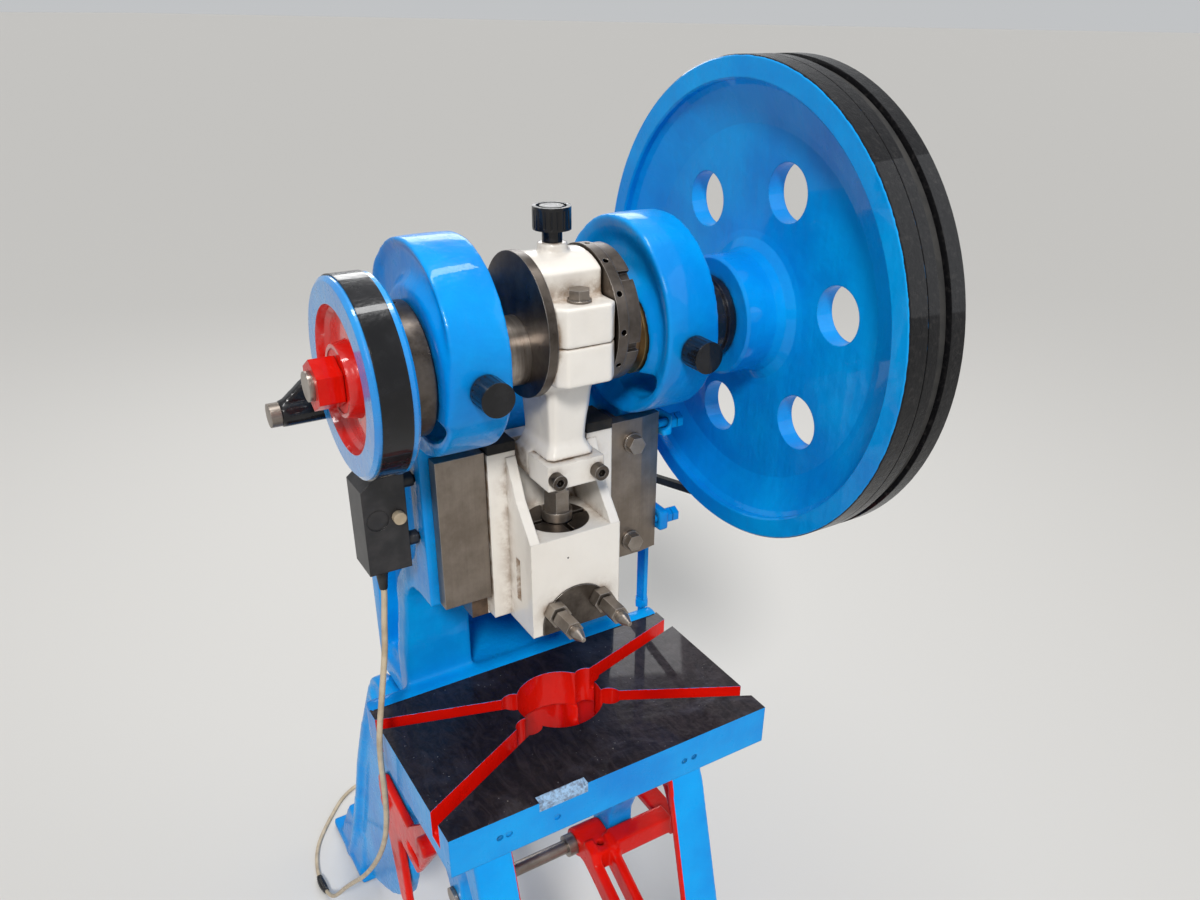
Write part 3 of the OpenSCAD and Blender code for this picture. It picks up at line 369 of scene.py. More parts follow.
def white_coat(g, oil_amount):
    """White enamel that oil has browned in its corners."""
    tone = brushed_paint(g, WHITE, DEEP_WHITE, WHITE_SHADE_AND_WEAR, 0.6)
    oil = g.both(g.flip(g.step(g.hollow(0.02), 0.35, 0.95)), g.step(g.noise(0.018, 6, 0.65), 0.35, 0.6))
    return g.mix(g.mul(oil, oil_amount), tone, OIL)


def sheen(g, low, high):
    """Roughness that wanders between two values."""
    return g.scale(g.noise(0.02, 3), 0, 1, low, high)


def blue_paint():
    g = Graph("blue_enamel")
    return g.finish(blue_coat(g), sheen(g, 0.18, 0.42), normal=paint_relief(g),
                    coat=0.35, coat_rough=0.04, specular=0.04)


def red_paint():
    g = Graph("red_enamel")
    return g.finish(red_coat(g), sheen(g, 0.2, 0.4), normal=paint_relief(g),
                    coat=0.35, coat_rough=0.04, specular=0.04)


def white_paint():
    g = Graph("white_enamel")
    return g.finish(white_coat(g, 0.8), sheen(g, 0.22, 0.45), normal=paint_relief(g, 0.0004),
                    coat=0.4, coat_rough=0.06, specular=0.3)


def black_paint():
    g = Graph("black_enamel")
    tone = g.mix(g.step(g.noise(0.03, 4), 0.4, 0.7), (0.004, 0.004, 0.005), (0.012, 0.012, 0.014))
    tone = g.mix(g.mul(g.edges(0.0012), 0.2), tone, (0.05, 0.045, 0.04))
    return g.finish(tone, g.scale(g.noise(0.015, 4), 0, 1, 0.15, 0.35), normal=paint_relief(g, 0.0004),
                    coat=0.45, coat_rough=0.04, specular=0.2)


def worn_steel(name, bright, dark, streak=(1, 1, 0.08), size=0.01, rough=(0.3, 0.5)):
    """Machined steel with directional streaks, oil film, lighter edges and painted shade in its hollows."""
    g = Graph(name)
    lines = g.noise(size, 6, 0.75, g.stretched(streak))
    stain = g.noise(0.035, 5, 0.65)
    tone = g.mix(g.step(g.add(g.mul(lines, 0.3), g.mul(stain, 0.7)), 0.3, 0.7), dark, bright)
    tone = g.mix(g.mul(g.edges(0.0012), 0.6), tone, (0.62, 0.58, 0.54))
    # Painted shade: hollows found by the occlusion test are darkened towards near-black.
    tone = g.mix(g.flip(g.step(g.hollow(0.008), 0.2, 0.7)), tone, (0.03, 0.022, 0.016))
    return g.finish(tone, g.scale(lines, 0.3, 0.7, *rough), 0.9,
                    g.bump(lines, 0.00006, g.rounded(0.0012)))


def plain_finish(name, colour, dark, rough, metal=0.0, grain=0.002, depth=0.0001):
    g = Graph(name)
    tone = g.mix(g.step(g.noise(0.02, 5), 0.35, 0.7), colour, dark)
    # Painted shade: hollows found by the occlusion test are darkened to 40% of the dark colour.
    tone = g.mix(g.flip(g.step(g.hollow(0.01), 0.2, 0.8)), tone, [c * 0.4 for c in dark])
    return g.finish(tone, rough, metal, g.bump(g.noise(grain, 4), depth, g.rounded(0.0015)))


MM = 0.001
SLOTS = (((58, 25), (210, 70)), ((60, -27), (210, -105)))
SLOT_HALF, SLOT_DEPTH = 9.9, 35.5
HOLE_R, HOLE_DEPTH = 56.2, 160
HOLE_LOBES, LOBE_R = ((52, 25), (56, -25)), 16.8
CHIP_LEFT, CHIP_RIGHT, CHIP_DEPTH, CHIP_Y = -104, -43, 13, -133


def slot_mask(g, x, y):
    """1 over the table's four slots, which run out from the hole."""
    slots = None
    for inner, outer in SLOTS:
        run = Vector((outer[0] - inner[0], outer[1] - inner[1])).normalized()
        right, ahead = g.sub(x, inner[0] * MM), g.sub(y, inner[1] * MM)
        across = g.abs(g.sub(g.mul(ahead, run.x), g.mul(right, run.y)))
        along = g.add(g.mul(right, run.x), g.mul(ahead, run.y))
        band = g.both(g.less(across, SLOT_HALF * MM), g.more(along, -0.02))
        slots = band if slots is None else g.most(slots, band)
    return slots


def hole_mask(g, x, y):
    """1 over the blanking hole and the lobes where the slots meet it."""
    hole = g.less(g.length(x, g.sub(y, 0.002)), HOLE_R * MM)
    for cx, cy in HOLE_LOBES:
        lobe = g.less(g.length(g.sub(x, cx * MM), g.sub(y, cy * MM)), LOBE_R * MM)
        hole = g.most(hole, lobe)
    return hole


def oiled_iron(g, swirl):
    """Colour of the bare table top: dark oil swirls, blotches and a few bright specks."""
    blotch = g.noise(0.06, 5, 0.6, None, 0.6)
    iron = g.mix(g.step(swirl, 0.35, 0.75), (0.018, 0.014, 0.018), (0.05, 0.038, 0.042))
    iron = g.mix(g.mul(g.step(blotch, 0.5, 0.8), 0.6), iron, (0.085, 0.08, 0.105))
    specks = g.both(g.more(g.noise(0.004, 2, 0.5), 0.72), g.step(blotch, 0.45, 0.6))
    return g.mix(specks, iron, (0.3, 0.27, 0.25))


def frame_paint():
    """Blue casting whose table top is bare oiled iron and whose slots and blanking hole are red."""
    g = Graph("frame_casting")
    middle = at(0, 0, 0)
    x = g.abs(g.sub(g.x, middle.x))
    y = g.sub(g.y, middle.y)
    z = g.sub(g.z, middle.z)
    wobble = g.mul(g.sub(g.noise(0.006, 4), 0.5), 0.0018)
    sunk = g.less(z, g.add(wobble, -0.0004))
    in_slots = g.both(slot_mask(g, x, y), sunk, g.more(z, -SLOT_DEPTH * MM))
    in_hole = g.both(hole_mask(g, x, y), sunk, g.more(z, -HOLE_DEPTH * MM))
    ribs = g.both(g.less(z, -0.0525), g.less(x, 0.088), g.less(y, 0.12), g.more(y, -0.1))
    red = g.least(g.add(g.add(in_slots, in_hole), ribs), 1.0)
    chip = g.both(g.more(g.x, at(CHIP_LEFT, 0, 0).x), g.less(g.x, at(CHIP_RIGHT, 0, 0).x),
                  g.more(z, -CHIP_DEPTH * MM), g.less(y, g.add(wobble, CHIP_Y * MM)))
    machined = g.both(g.more(g.normal()[2], 0.9), g.less(g.abs(z), 0.0006),
                      g.less(y, g.add(g.mul(wobble, 2.0), 0.1)), g.flip(red), g.flip(chip))
    paint = g.mix(red, blue_coat(g), red_coat(g))
    broken = g.mix(g.step(g.noise(0.005, 5, 0.7), 0.38, 0.66), (0.30, 0.47, 0.68), (0.15, 0.19, 0.26))
    paint = g.mix(chip, paint, broken)
    swirl = g.noise(0.012, 7, 0.72, g.stretched((1, 0.35, 1), (0, 0, 0.5)), 1.4)
    tone = g.mix(machined, paint, oiled_iron(g, swirl))
    rough = g.add(g.mul(g.flip(machined), sheen(g, 0.18, 0.42)),
                  g.mul(machined, g.scale(swirl, 0.3, 0.7, 0.28, 0.5)))
    relief = g.bump(g.mul(machined, swirl), 0.0002, paint_relief(g))
    return g.finish(tone, rough, g.mul(machined, 0.55), relief, coat=0.3, coat_rough=0.04, specular=0.08)


NAVE_R, NAVE_X = 69.7, -205
RIM_R, RIM_LEFT = 263.7, 0.2
GROOVE_R, GROOVE_X, GROOVE_HALF = 248.5, 275, 9
END_X, THREAD_R = -221, 14.3


def drum_paint():
    """Blue drum with a red dished nave."""
    g = Graph("brake_drum")
    red = g.both(g.less(g.crank_radius(), NAVE_R * MM), g.less(g.x, at(NAVE_X, 0, 0).x))
    return g.finish(g.mix(red, blue_coat(g), red_coat(g)), sheen(g, 0.18, 0.4), normal=paint_relief(g),
                    coat=0.9, coat_rough=0.06)


def wheel_paint():
    """Blue wheel with a black, tarry rim."""
    g = Graph("flywheel")
    radius = g.crank_radius()
    ragged = g.mul(g.sub(g.noise(0.01, 4), 0.5), 0.0015)
    rim = g.both(g.more(radius, g.add(RIM_R * MM, ragged)), g.more(g.x, RIM_LEFT))
    beside = g.abs(g.sub(g.x, at(GROOVE_X, 0, 0).x))
    groove = g.both(g.more(radius, GROOVE_R * MM), g.less(beside, GROOVE_HALF * MM))
    black = g.most(rim, groove)
    tar = g.mix(g.step(g.noise(0.006, 6, 0.7), 0.5, 0.75), (0.006, 0.006, 0.007), (0.03, 0.028, 0.028))
    relief = g.bump(g.mul(black, g.noise(0.005, 5, 0.7)), 0.0012, paint_relief(g))
    return g.finish(g.mix(black, blue_coat(g), tar), sheen(g, 0.18, 0.42), normal=relief,
                    coat=0.35, coat_rough=0.04, specular=0.05)


def crank_paint():
    """Turned steel, painted red where its left end stands out of the nave."""
    g = Graph("crankshaft")
    red = g.both(g.less(g.x, at(END_X, 0, 0).x), g.more(g.crank_radius(), THREAD_R * MM))
    lines = g.noise(0.004, 6, 0.75, g.stretched((1, 0.06, 0.06)))
    steel = g.mix(g.step(lines, 0.3, 0.7), (0.26, 0.22, 0.19), (0.46, 0.41, 0.36))
    steel = g.mix(g.step(g.noise(0.03, 5), 0.5, 0.75), steel, (0.17, 0.13, 0.10))
    return g.finish(g.mix(red, steel, RED), g.scale(lines, 0, 1, 0.2, 0.4), g.mul(g.flip(red), 0.95),
                    g.rounded(0.0012), specular=0.3)


def leg_paint():
    """Blue legs, red on the sides that face each other in front."""
    g = Graph("leg_enamel")
    middle = at(0, 45, 0)
    facing = g.mul(g.normal()[0], g.math("SIGN", g.sub(g.x, middle.x)))
    red = g.both(g.less(facing, -0.55), g.less(g.y, middle.y))
    return g.finish(g.mix(red, blue_coat(g), red_coat(g)), sheen(g, 0.18, 0.42), normal=paint_relief(g),
                    coat=0.35, coat_rough=0.04, specular=0.04)


def ram_paint():
    """White ram whose guide flanges are bare, oiled steel."""
    g = Graph("ram")
    specks = g.both(g.less(g.cells(0.021), 0.055), g.more(g.noise(0.05, 2), 0.5))
    tone = g.mix(specks, white_coat(g, 0.85), (0.05, 0.04, 0.035))
    middle = at(0, 26, 0)
    bare = g.both(g.more(g.abs(g.sub(g.x, middle.x)), 0.0772), g.more(g.y, middle.y))
    brown = g.mix(g.step(g.noise(0.012, 5), 0.35, 0.7), (0.19, 0.12, 0.075), (0.10, 0.065, 0.045))
    return g.finish(g.mix(bare, tone, brown), sheen(g, 0.22, 0.45), g.mul(bare, 0.7),
                    paint_relief(g, 0.0004), coat=0.35, coat_rough=0.06, specular=0.3)


SOOT, SOOT_WORN = (0.012, 0.012, 0.012), (0.03, 0.028, 0.026)


def dress_nodes():
    """Gives every node its finish, by its own name or by its slot, and returns those that pieces share."""
    steel = worn_steel("turned_steel", (0.40, 0.355, 0.31), (0.22, 0.185, 0.155), (0.08, 1, 1))
    gib = worn_steel("ground_gibs", (0.30, 0.255, 0.215), (0.19, 0.155, 0.125),
                     (1, 1, 0.03), 0.004, (0.36, 0.5))
    dark = worn_steel("oiled_steel", (0.16, 0.135, 0.115), (0.05, 0.04, 0.033),
                      (1, 1, 1), 0.02, (0.25, 0.45))
    bronze = plain_finish("bronze", (0.5, 0.32, 0.13), (0.3, 0.18, 0.07), 0.35, 0.9)
    beige = plain_finish("beige_moulding", (0.55, 0.46, 0.33), (0.4, 0.32, 0.22), 0.5)
    leg = leg_paint()
    looks = {
        "frame_casting": frame_paint(),
        "brake_drum": drum_paint(),
        "flywheel": wheel_paint(),
        "ram": ram_paint(),
        "crankshaft": crank_paint(),
        "left_leg": leg,
        "right_leg": leg,
        "left_gib": gib,
        "right_gib": gib,
        "main_bushes": bronze,
        "pitman_bush": bronze,
        "flywheel_bush": bronze,
        "ball_seat": bronze,
        "drive_belt": plain_finish("belt_rubber", SOOT, SOOT_WORN, 0.75),
        "brake_lining": plain_finish("lining", (0.12, 0.085, 0.055), (0.07, 0.05, 0.035), 0.85),
        "ram_pads": plain_finish("felt", SOOT, (0.03, 0.025, 0.02), 0.9, 0, 0.0008, 0.0005),
        "starter_box": plain_finish("black_moulding", (0.012, 0.012, 0.014), (0.03, 0.028, 0.03), 0.4),
        "cable_gland": plain_finish("gland", SOOT, (0.03, 0.03, 0.03), 0.5),
        "motor": plain_finish("motor_paint", (0.20, 0.225, 0.245), (0.155, 0.175, 0.19), 0.45, 0, 0.004),
    }
    by_slot = {
        "blue_enamel": blue_paint(),
        "red_enamel": red_paint(),
        "white_enamel": white_paint(),
        "black_enamel": black_paint(),
        "steel": steel,
        "dark_steel": dark,
        "beige_plastic": beige,
    }
    slot_of = {part["node"]: part["material_slot"] for part in frame["record"]["subparts"]}
    for name, obj in frame["nodes"].items():
        obj.data.materials.clear()
        obj.data.materials.append(looks.get(name) or by_slot[slot_of[name]])
    return dict(blue=by_slot["blue_enamel"], red=by_slot["red_enamel"], white=by_slot["white_enamel"],
                black=by_slot["black_enamel"], steel=steel, beige=beige, leg=leg,
                frame=looks["frame_casting"])


# Shapes

PIN_Z = CRANK_Z + 25.0
PIT_LOW = 317.0
ORIGIN = np.array([MID_X, MID_Y, -TABLE_Z])


def add_object(name, mesh, look=None):
    obj = bpy.data.objects.new(name, mesh)
    bpy.context.scene.collection.objects.link(obj)
    if look is not None:
        mesh.materials.clear()
        mesh.materials.append(look)
    return obj


def read_points(mesh):
    """A mesh's points in press millimetres."""
    flat = np.empty(len(mesh.vertices) * 3)
    mesh.vertices.foreach_get("co", flat)
    return flat.reshape(-1, 3) * 1000 + ORIGIN


def write_points(mesh, points):
    mesh.vertices.foreach_set("co", ((points - ORIGIN) / 1000).ravel())
    mesh.update()


def smoothstep(value, low, high):
    t = np.clip((value - low) / (high - low), 0, 1)
    return t * t * (3 - 2 * t)


def relax(mesh, points, passes):
    """Moves each point halfway to the middle of its neighbours, as many times as passes says."""
    count = len(points)
    ends = np.empty(len(mesh.edges) * 2, dtype=np.int64)
    mesh.edges.foreach_get("vertices", ends)
    a, b = ends.reshape(-1, 2).T
    degree = np.maximum(np.bincount(a, minlength=count) + np.bincount(b, minlength=count), 1)
    for _ in range(passes):
        for k in range(3):
            line = points[:, k]
            total = np.bincount(a, line[b], count) + np.bincount(b, line[a], count)
            points[:, k] = line + (total / degree - line) * 0.5
    return points


def bake(obj):
    """Applies an object's modifiers."""
    graph = bpy.context.evaluated_depsgraph_get()
    mesh = bpy.data.meshes.new_from_object(obj.evaluated_get(graph), depsgraph=graph)
    obj.modifiers.clear()
    obj.data = mesh
    return mesh


def carve(obj, low, high, operation="DIFFERENCE"):
    """Cuts a box of press millimetres out of a piece, or keeps only what is inside it."""
    bm = bmesh.new()
    bmesh.ops.create_cube(bm, size=1)
    a, b = at(*low), at(*high)
    for v in bm.verts:
        v.co = Vector([a[i] + (v.co[i] + 0.5) * (b[i] - a[i]) for i in range(3)])
    mesh = bpy.data.meshes.new("cutter")
    bm.to_mesh(mesh)
    bm.free()
    tool = add_object("cutter", mesh)
    cut = obj.modifiers.new("cut", "BOOLEAN")
    cut.operation = operation
    cut.object = tool
    cut.solver = "EXACT"
    cut.use_self = True
    bake(obj)
    bpy.data.objects.remove(tool)


def add_prism(bm, outline, z0, z1):
    """Adds an upright prism over an outline of (x, y), counter-clockwise, in press millimetres."""
    low = [bm.verts.new(at(x, y, z0)) for x, y in outline]
    high = [bm.verts.new(at(x, y, z1)) for x, y in outline]
    bm.faces.new(low[::-1])
    bm.faces.new(high)
    count = len(outline)
    for i in range(count):
        j = (i + 1) % count
        bm.faces.new((low[i], low[j], high[j], high[i]))


def add_ring(bm, x0, x1, inner, outer, count=120):
    """Adds a ring along x; inner and outer are (radius, y, z)."""
    loops = []
    for x, (radius, y, z) in ((x0, outer), (x1, outer), (x1, inner), (x0, inner)):
        turns = [2 * math.pi * k / count for k in range(count)]
        loops.append([bm.verts.new(at(x, y + radius * math.cos(t), z + radius * math.sin(t)))
                      for t in turns])
    for i in range(4):
        here, there = loops[i], loops[(i + 1) % 4]
        for k in range(count):
            m = (k + 1) % count
            bm.faces.new((here[k], here[m], there[m], there[k]))


def cast(name, nodes, voxel, passes, body, look, add=None, cuts=(), shape=None):
    """A casting with melted edges and filled corners, made from the solids of its nodes."""
    bm = bmesh.new()
    for node in nodes:
        bm.from_mesh(frame["nodes"][node].data)
    if add:
        add(bm)
    bmesh.ops.recalc_face_normals(bm, faces=bm.faces)
    mesh = bpy.data.meshes.new(name)
    bm.to_mesh(mesh)
    bm.free()
    obj = add_object(name, mesh)
    for low, high in cuts:
        carve(obj, low, high)
    skin = obj.modifiers.new("skin", "REMESH")
    skin.mode = "VOXEL"
    skin.voxel_size = voxel
    mesh = bake(obj)
    points = read_points(mesh)
    if shape:
        points = shape(mesh, points)
    write_points(mesh, relax(mesh, points, passes))
    mesh.shade_smooth()
    mesh.materials.clear()
    mesh.materials.append(look)
    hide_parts(*nodes)
    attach(obj, body)


# Cable

CABLE_MM = 7.0
LEAD = [(-186, 62, 224), (-186, 62, 205), (-186, 62, 184), (-190, 60, 150),
        (-196, 54, 110), (-208, 44, 60), (-219, 34, 15), (-221, 36, -30),
        (-220, 40, -73), (-218, 56, -135), (-217, 84, -200), (-217, 130, -275),
        (-217, 185, -350), (-218, 245, -425), (-220, 310, -500), (-222, 372, -573),
        (-225, 422, -635), (-229, 458, -674), (-232, 490, -692), (-234, 523, -696.2),
        (-228, 566, -696.2), (-214, 606, -696.2), (-192, 641, -696.2), (-164, 676, -696.2),
        (-133, 709, -696.2), (-96, 730, -696.2), (-50, 740, -696.2), (0, 742, -696.2)]
COIL_AT = (46.0, 689.3)
COIL_START, COIL_PITCH = 52.7, 7.2
COIL_TURNS, CLIMB_FROM, CLIMB_TO = 3.944, 2.95, 3.3
STEPS_A_TURN = 20
BACK_BEND = 29.0
TAPE_AT = Vector((-233, 508, -695))
TIE_TURN, TIE_SIDES = -60, 28
LOW_Z, HIGH_Z, PLUG_Z = -696.2, -688.6, -691.0


def curve_through(points, parts):
    """Points on a smooth line through the given ones."""
    pts = [Vector(p) for p in points]
    out = []
    for i in range(len(pts) - 1):
        a, b, c, d = pts[max(i - 1, 0)], pts[i], pts[i + 1], pts[min(i + 2, len(pts) - 1)]
        for k in range(parts):
            t = k / parts
            out.append(0.5 * (2 * b + (c - a) * t + (2 * a - 5 * b + 4 * c - d) * t * t
                              + (3 * b - a - 3 * c + d) * t * t * t))
    return out + [pts[-1]]


def cable_path():
    """The cable's middle line: down the column, along the floor, four turns of coil, back to the plug."""
    path = curve_through(LEAD, 4)
    cx, cy = COIL_AT
    for i in range(int(COIL_TURNS * STEPS_A_TURN) + 1):
        t = i / STEPS_A_TURN
        if t < CLIMB_TO:
            radius = COIL_START - COIL_PITCH * t
        else:
            radius = COIL_START - COIL_PITCH * (2 * CLIMB_TO - t)
        climb = min(max((t - CLIMB_FROM) / (CLIMB_TO - CLIMB_FROM), 0), 1)
        turn = math.pi / 2 - 2 * math.pi * t
        path.append(Vector((cx + radius * math.cos(turn), cy + radius * math.sin(turn),
                            LOW_Z + (HIGH_Z - LOW_Z) * climb * climb * (3 - 2 * climb))))
    heading = (path[-1] - path[-2]).normalized()
    side = Vector((-heading.y, heading.x, 0)).normalized()
    middle = path[-1] + side * BACK_BEND
    start = math.atan2(-side.y, -side.x)
    sweep = math.pi - start
    for k in range(1, 15):
        turn = start + sweep * k / 14
        path.append(Vector((middle.x + BACK_BEND * math.cos(turn), middle.y + BACK_BEND * math.sin(turn),
                            HIGH_Z)))
    last, end = path[-1], Vector((-5.6, cy - 6, PLUG_Z))
    for k in range(1, 9):
        t = k / 8
        ease = t * t * (3 - 2 * t)
        path.append(Vector((last.x + (end.x - last.x) * ease, last.y + (end.y - last.y) * t,
                            last.z + (end.z - last.z) * ease)))
    return path


def tube(name, path, radii, look, sides=12):
    """A closed round tube along a path of press millimetres."""
    bm = bmesh.new()
    loops = []
    side = None
    for i, point in enumerate(path):
        along = (path[min(i + 1, len(path) - 1)] - path[max(i - 1, 0)]).normalized()
        if side is None:
            side = along.orthogonal().normalized()
        side = (side - along * side.dot(along)).normalized()
        other = along.cross(side)
        loops.append([bm.verts.new(at(*(point + radii[i] * (side * math.cos(t) + other * math.sin(t)))))
                      for t in (2 * math.pi * k / sides for k in range(sides))])
    for here, there in zip(loops, loops[1:]):
        for k in range(sides):
            m = (k + 1) % sides
            bm.faces.new((here[k], here[m], there[m], there[k]))
    bm.faces.new(loops[0][::-1])
    bm.faces.new(loops[-1])
    bmesh.ops.recalc_face_normals(bm, faces=bm.faces)
    mesh = bpy.data.meshes.new(name)
    bm.to_mesh(mesh)
    bm.free()
    mesh.shade_smooth()
    return add_object(name, mesh, look)


def make_tape(path, look):
    """The lumpy wrap of tape on the cable, thinner at its ends and clear of the floor."""
    nearest = min(range(len(path)), key=lambda i: (path[i] - TAPE_AT).length)
    wrapped = curve_through(path[nearest - 2:nearest + 4], 5)
    swell = []
    for i, point in enumerate(wrapped):
        along = min(max(i / (len(wrapped) - 1), 0.04), 0.96)
        lump = 2.6 * math.sin(math.pi * along) ** 0.6 + 0.5 * math.sin(2.1 * i)
        swell.append(CABLE_MM / 2 + 0.5 + lump)
        point.z = max(point.z, swell[i] + 0.2 - TABLE_Z)
    return tube("lead_tape", wrapped, swell, look, 14)


def make_tie(look):
    """The tie round one side of the coil, a rounded oblong that stands across its turns."""
    cx, cy = COIL_AT
    turn = math.radians(TIE_TURN)
    band = []
    for k in range(TIE_SIDES):
        t = 2 * math.pi * k / TIE_SIDES
        reach = 40.6 + 17.5 * abs(math.cos(t)) ** 0.6 * math.copysign(1, math.cos(t))
        up = 9.4 + 8.0 * abs(math.sin(t)) ** 0.6 * math.copysign(1, math.sin(t))
        band.append(Vector((cx + reach * math.cos(turn), cy + reach * math.sin(turn), -TABLE_Z + up)))
    return tube("lead_tie", band + band[:1], [1.1] * (TIE_SIDES + 1), look, 8)


def make_cable(look, tape_look):
    path = cable_path()
    cable = tube("mains_lead", path, [CABLE_MM / 2] * len(path), look)
    tape = make_tape(path, tape_look)
    tie = make_tie(tape_look)
    for piece in (cable, tape, tie):
        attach(piece, "frame")
    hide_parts("mains_cable", "cable_coil")


# Castings

BOSS = dict(inner=82.0, outer=150.0, radius=108.0, y=22.0, z=CRANK_Z + 10)
TABLE = dict(half=210.0, front=-143.0, back=100.0, thick=53.0)
BOSS_BOTTOM = CRANK_Z - 110
DISH_INSIDE, DISH_OUTSIDE, TABLE_SINK = 13, 9, 1.6
LUG_FRONT = -74.0
LUG = [(-33, -40), (-33, -65), (-24, LUG_FRONT), (24, LUG_FRONT), (33, -65), (33, -40)]


def make_frame(look):
    def fill_bosses(bm):
        for sign in (-1, 1):
            ends = sorted((sign * (BOSS["inner"] + 1.5), sign * (BOSS["outer"] - 1.5)))
            add_ring(bm, *ends, (72, 0, CRANK_Z), (BOSS["radius"] - 0.5, BOSS["y"], BOSS["z"]))

    def sink_and_dish(mesh, p):
        """Sinks the table's skin under its machined plate and dishes the bosses' faces."""
        normals = np.empty(len(p) * 3)
        mesh.vertices.foreach_get("normal", normals)
        normals = normals.reshape(-1, 3)
        inside = smoothstep(p[:, 1], TABLE["back"] - 1, TABLE["back"] - 7) * (p[:, 2] > -TABLE["thick"] - 2.5)
        p = p - normals * (TABLE_SINK * inside)[:, None]
        rim = np.hypot(p[:, 1] - BOSS["y"], p[:, 2] - BOSS["z"])
        hub = np.hypot(p[:, 1], p[:, 2] - CRANK_Z)
        deep = np.abs(p[:, 0]) - BOSS["inner"]
        dish = (smoothstep(rim, 104, 74) * smoothstep(hub, 49, 60) * smoothstep(deep, 16, 2) * (deep > -3)
                * (p[:, 2] > BOSS_BOTTOM))
        p[:, 0] += np.sign(p[:, 0]) * DISH_INSIDE * dish
        proud = np.abs(p[:, 0]) - BOSS["outer"]
        hollow = (smoothstep(rim, 107, 92) * smoothstep(hub, 79, 86) * smoothstep(proud, -14, -2)
                  * (proud < 4) * (p[:, 2] > BOSS_BOTTOM))
        p[:, 0] -= np.sign(p[:, 0]) * DISH_OUTSIDE * hollow
        return p

    cast("press_casting", ["frame_casting"], 0.003, 9, "frame", look, add=fill_bosses, shape=sink_and_dish)
    plate = add_object("machined_table", frame["nodes"]["frame_casting"].data.copy(), look)
    spare = 5
    carve(plate, (-TABLE["half"] - spare, TABLE["front"] - spare, -TABLE["thick"]),
          (TABLE["half"] + spare, TABLE["back"], spare), "INTERSECT")
    plate.data.materials.clear()
    plate.data.materials.append(look)
    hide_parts("frame_casting")
    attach(plate, "frame")


def make_pitman(look):
    def waist(mesh, p):
        z = p[:, 2]
        window = smoothstep(z, PIT_LOW + 30, PIT_LOW + 46) * smoothstep(z, PIN_Z - 50, PIN_Z - 72)
        low = smoothstep(z, PIN_Z - 60, PIT_LOW + 40)
        p[:, 0] *= 1 - window * (0.12 + 0.14 * low)
        front = p[:, 1] < 0
        p[:, 1] = np.where(front, p[:, 1] * (1 - 0.18 * window * low), p[:, 1])
        return p

    cast("pitman_rod", ["pitman"], 0.0016, 7, "pitman", look, shape=waist,
         add=lambda bm: add_prism(bm, LUG, PIN_Z - 47, PIN_Z - 7.2))
    cast("pitman_top", ["pitman_cap"], 0.0016, 5, "pitman", look,
         add=lambda bm: add_prism(bm, LUG, PIN_Z - 7, PIN_Z + 32),
         cuts=[((-36, -90, PIN_Z + 32), (36, -40, PIN_Z + 90))])


def add_web(bm, outline, y0, y1):
    """Adds a plate over an outline of (x, z) between two values of y, in press millimetres."""
    front = [bm.verts.new(at(x, y0, z)) for x, z in outline]
    back = [bm.verts.new(at(x, y1, z)) for x, z in outline]
    bm.faces.new(front)
    bm.faces.new(back[::-1])
    count = len(outline)
    for i in range(count):
        j = (i + 1) % count
        bm.faces.new((front[j], front[i], back[i], back[j]))


ANCHOR_Y, ANCHOR_Z = 118.3, 391.7
ANCHOR_RIB = [(-253, 0), (-253, 12), (-226, 34), (-152, 34), (-152, 0)]
BAND_MIDDLE = -202.5


def make_band(look):
    """The brake band, as wide and as proud of the drum's rims as a lined strap sits."""
    mesh = frame["nodes"]["brake_band"].data.copy()
    p = read_points(mesh)
    p[:, 0] = BAND_MIDDLE + 0.5 + (p[:, 0] - BAND_MIDDLE) * 1.28
    y, z = p[:, 1], p[:, 2] - CRANK_Z
    radius = np.hypot(y, z)
    grow = np.where(radius < 94, 95.4 / 93, 1.0)
    grow = np.where(radius < 91.5, 1.0, grow)
    p[:, 1], p[:, 2] = y * grow, CRANK_Z + z * grow
    write_points(mesh, p)
    band = add_object("brake_strap", mesh, look)
    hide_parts("brake_band")
    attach(band, "frame")


LEG_IN, FLOOR_Z = 137.0, -700.0
FOOT_LOW = (LEG_IN - 33, LEG_IN + 28, 492, 622, FLOOR_Z + 9)
FOOT_HIGH = (LEG_IN - 2, LEG_IN + 20, 462, 556, FLOOR_Z + 128)


def add_foot(bm, sign):
    """Adds the swelling with which a leg runs out into its rear foot."""
    rows = []
    for x0, x1, y0, y1, z in (FOOT_LOW, FOOT_HIGH):
        rows.append([bm.verts.new(at(sign * x, y, z)) for x, y in ((x0, y0), (x1, y0), (x1, y1), (x0, y1))])
    low, high = rows
    bm.faces.new(low[::-1])
    bm.faces.new(high)
    for i in range(4):
        j = (i + 1) % 4
        bm.faces.new((low[i], low[j], high[j], high[i]))


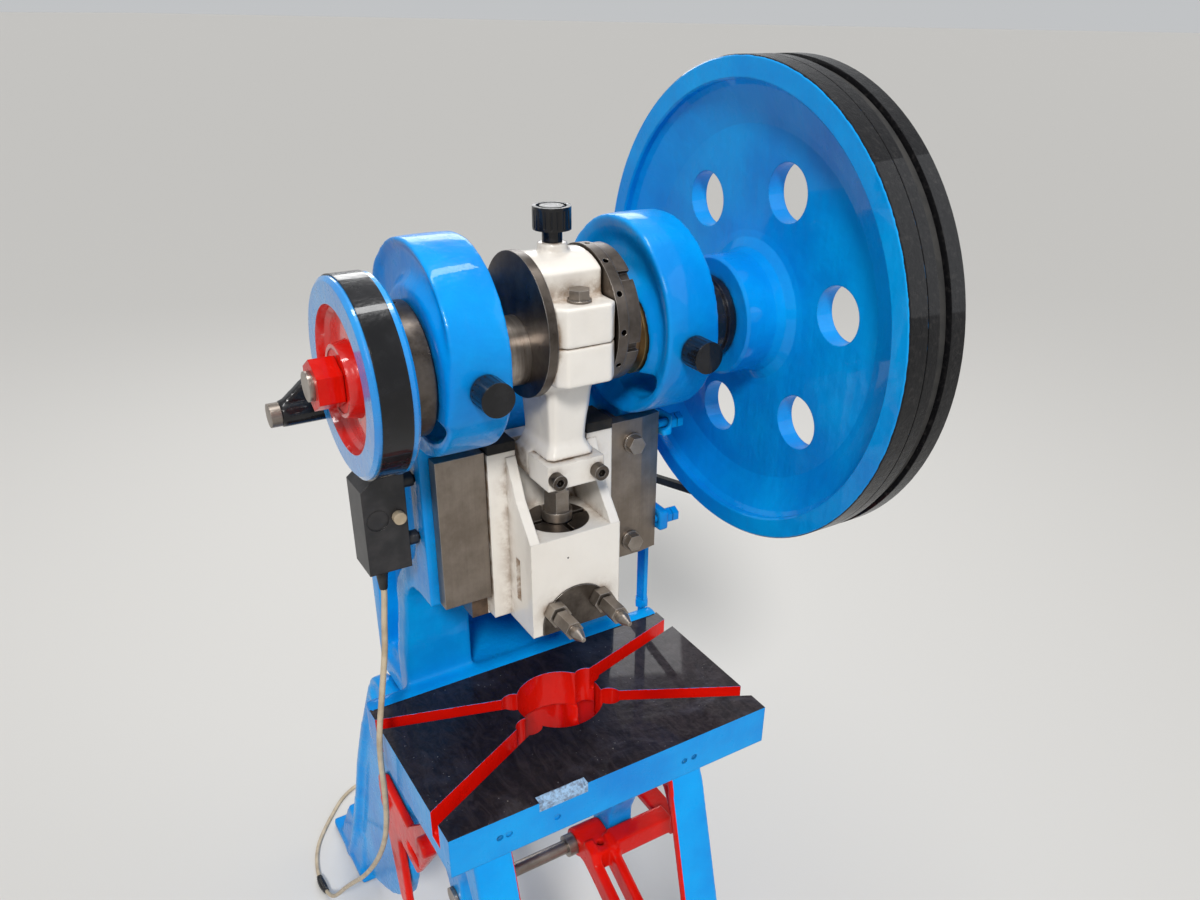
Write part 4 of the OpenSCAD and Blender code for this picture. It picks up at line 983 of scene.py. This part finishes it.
def make_castings(looks):
    make_frame(looks["frame"])
    make_pitman(looks["white"])
    for side, sign in (("left", -1), ("right", 1)):
        cast(side + "_side_leg", [side + "_leg"], 0.003, 10, "frame", looks["leg"],
             add=lambda bm, sign=sign: add_foot(bm, sign))
    cast("foot_treadle", ["treadle"], 0.0018, 5, "treadle", looks["red"])
    cast("left_hanger", ["treadle_hanger"], 0.0022, 5, "frame", looks["red"])
    cast("band_anchor", ["brake_anchor"], 0.0018, 4, "frame", looks["black"],
         add=lambda bm: add_web(bm, [(x, ANCHOR_Z + z) for x, z in ANCHOR_RIB], ANCHOR_Y - 6, ANCHOR_Y + 6))
    make_band(looks["black"])
    cast("latch_carrier", ["latch_bracket"], 0.0014, 4, "frame", looks["blue"])


def thread(name, start, end, radius, pitch, body, look):
    """A screw thread that stands on a plain shank between two points of press millimetres."""
    steps = 24
    profile = ((-0.42 * pitch, -0.3), (0, 0.32 * pitch), (0.42 * pitch, -0.3))
    a, b = Vector(start), Vector(end)
    along = (b - a).normalized()
    side = along.orthogonal().normalized()
    other = along.cross(side)
    turns = (b - a).length / pitch
    count = int(turns * steps)
    bm = bmesh.new()
    loops = []
    for i in range(count + 1):
        t = 2 * math.pi * i / steps
        out = side * math.cos(t) + other * math.sin(t)
        fade = min(2 * i / steps, 2 * (count - i) / steps, 1)
        middle = a + along * (pitch * i / steps)
        row = []
        for shift, rise in profile:
            reach = radius + rise * (fade if rise > 0 else 1)
            row.append(bm.verts.new(at(*(middle + along * shift + out * reach))))
        loops.append(row)
    for here, there in zip(loops, loops[1:]):
        for k in range(3):
            m = (k + 1) % 3
            bm.faces.new((here[k], here[m], there[m], there[k]))
    bm.faces.new(loops[0][::-1])
    bm.faces.new(loops[-1])
    bmesh.ops.recalc_face_normals(bm, faces=bm.faces)
    mesh = bpy.data.meshes.new(name)
    bm.to_mesh(mesh)
    bm.free()
    piece = add_object(name, mesh, look)
    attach(piece, body)


make_camera()
make_studio()
looks = dress_nodes()
make_cable(looks["beige"], looks["black"])
make_castings(looks)
thread("ram_screw_thread", (0, 0, 297), (0, 0, 316), 14, 3, "screw", looks["steel"])
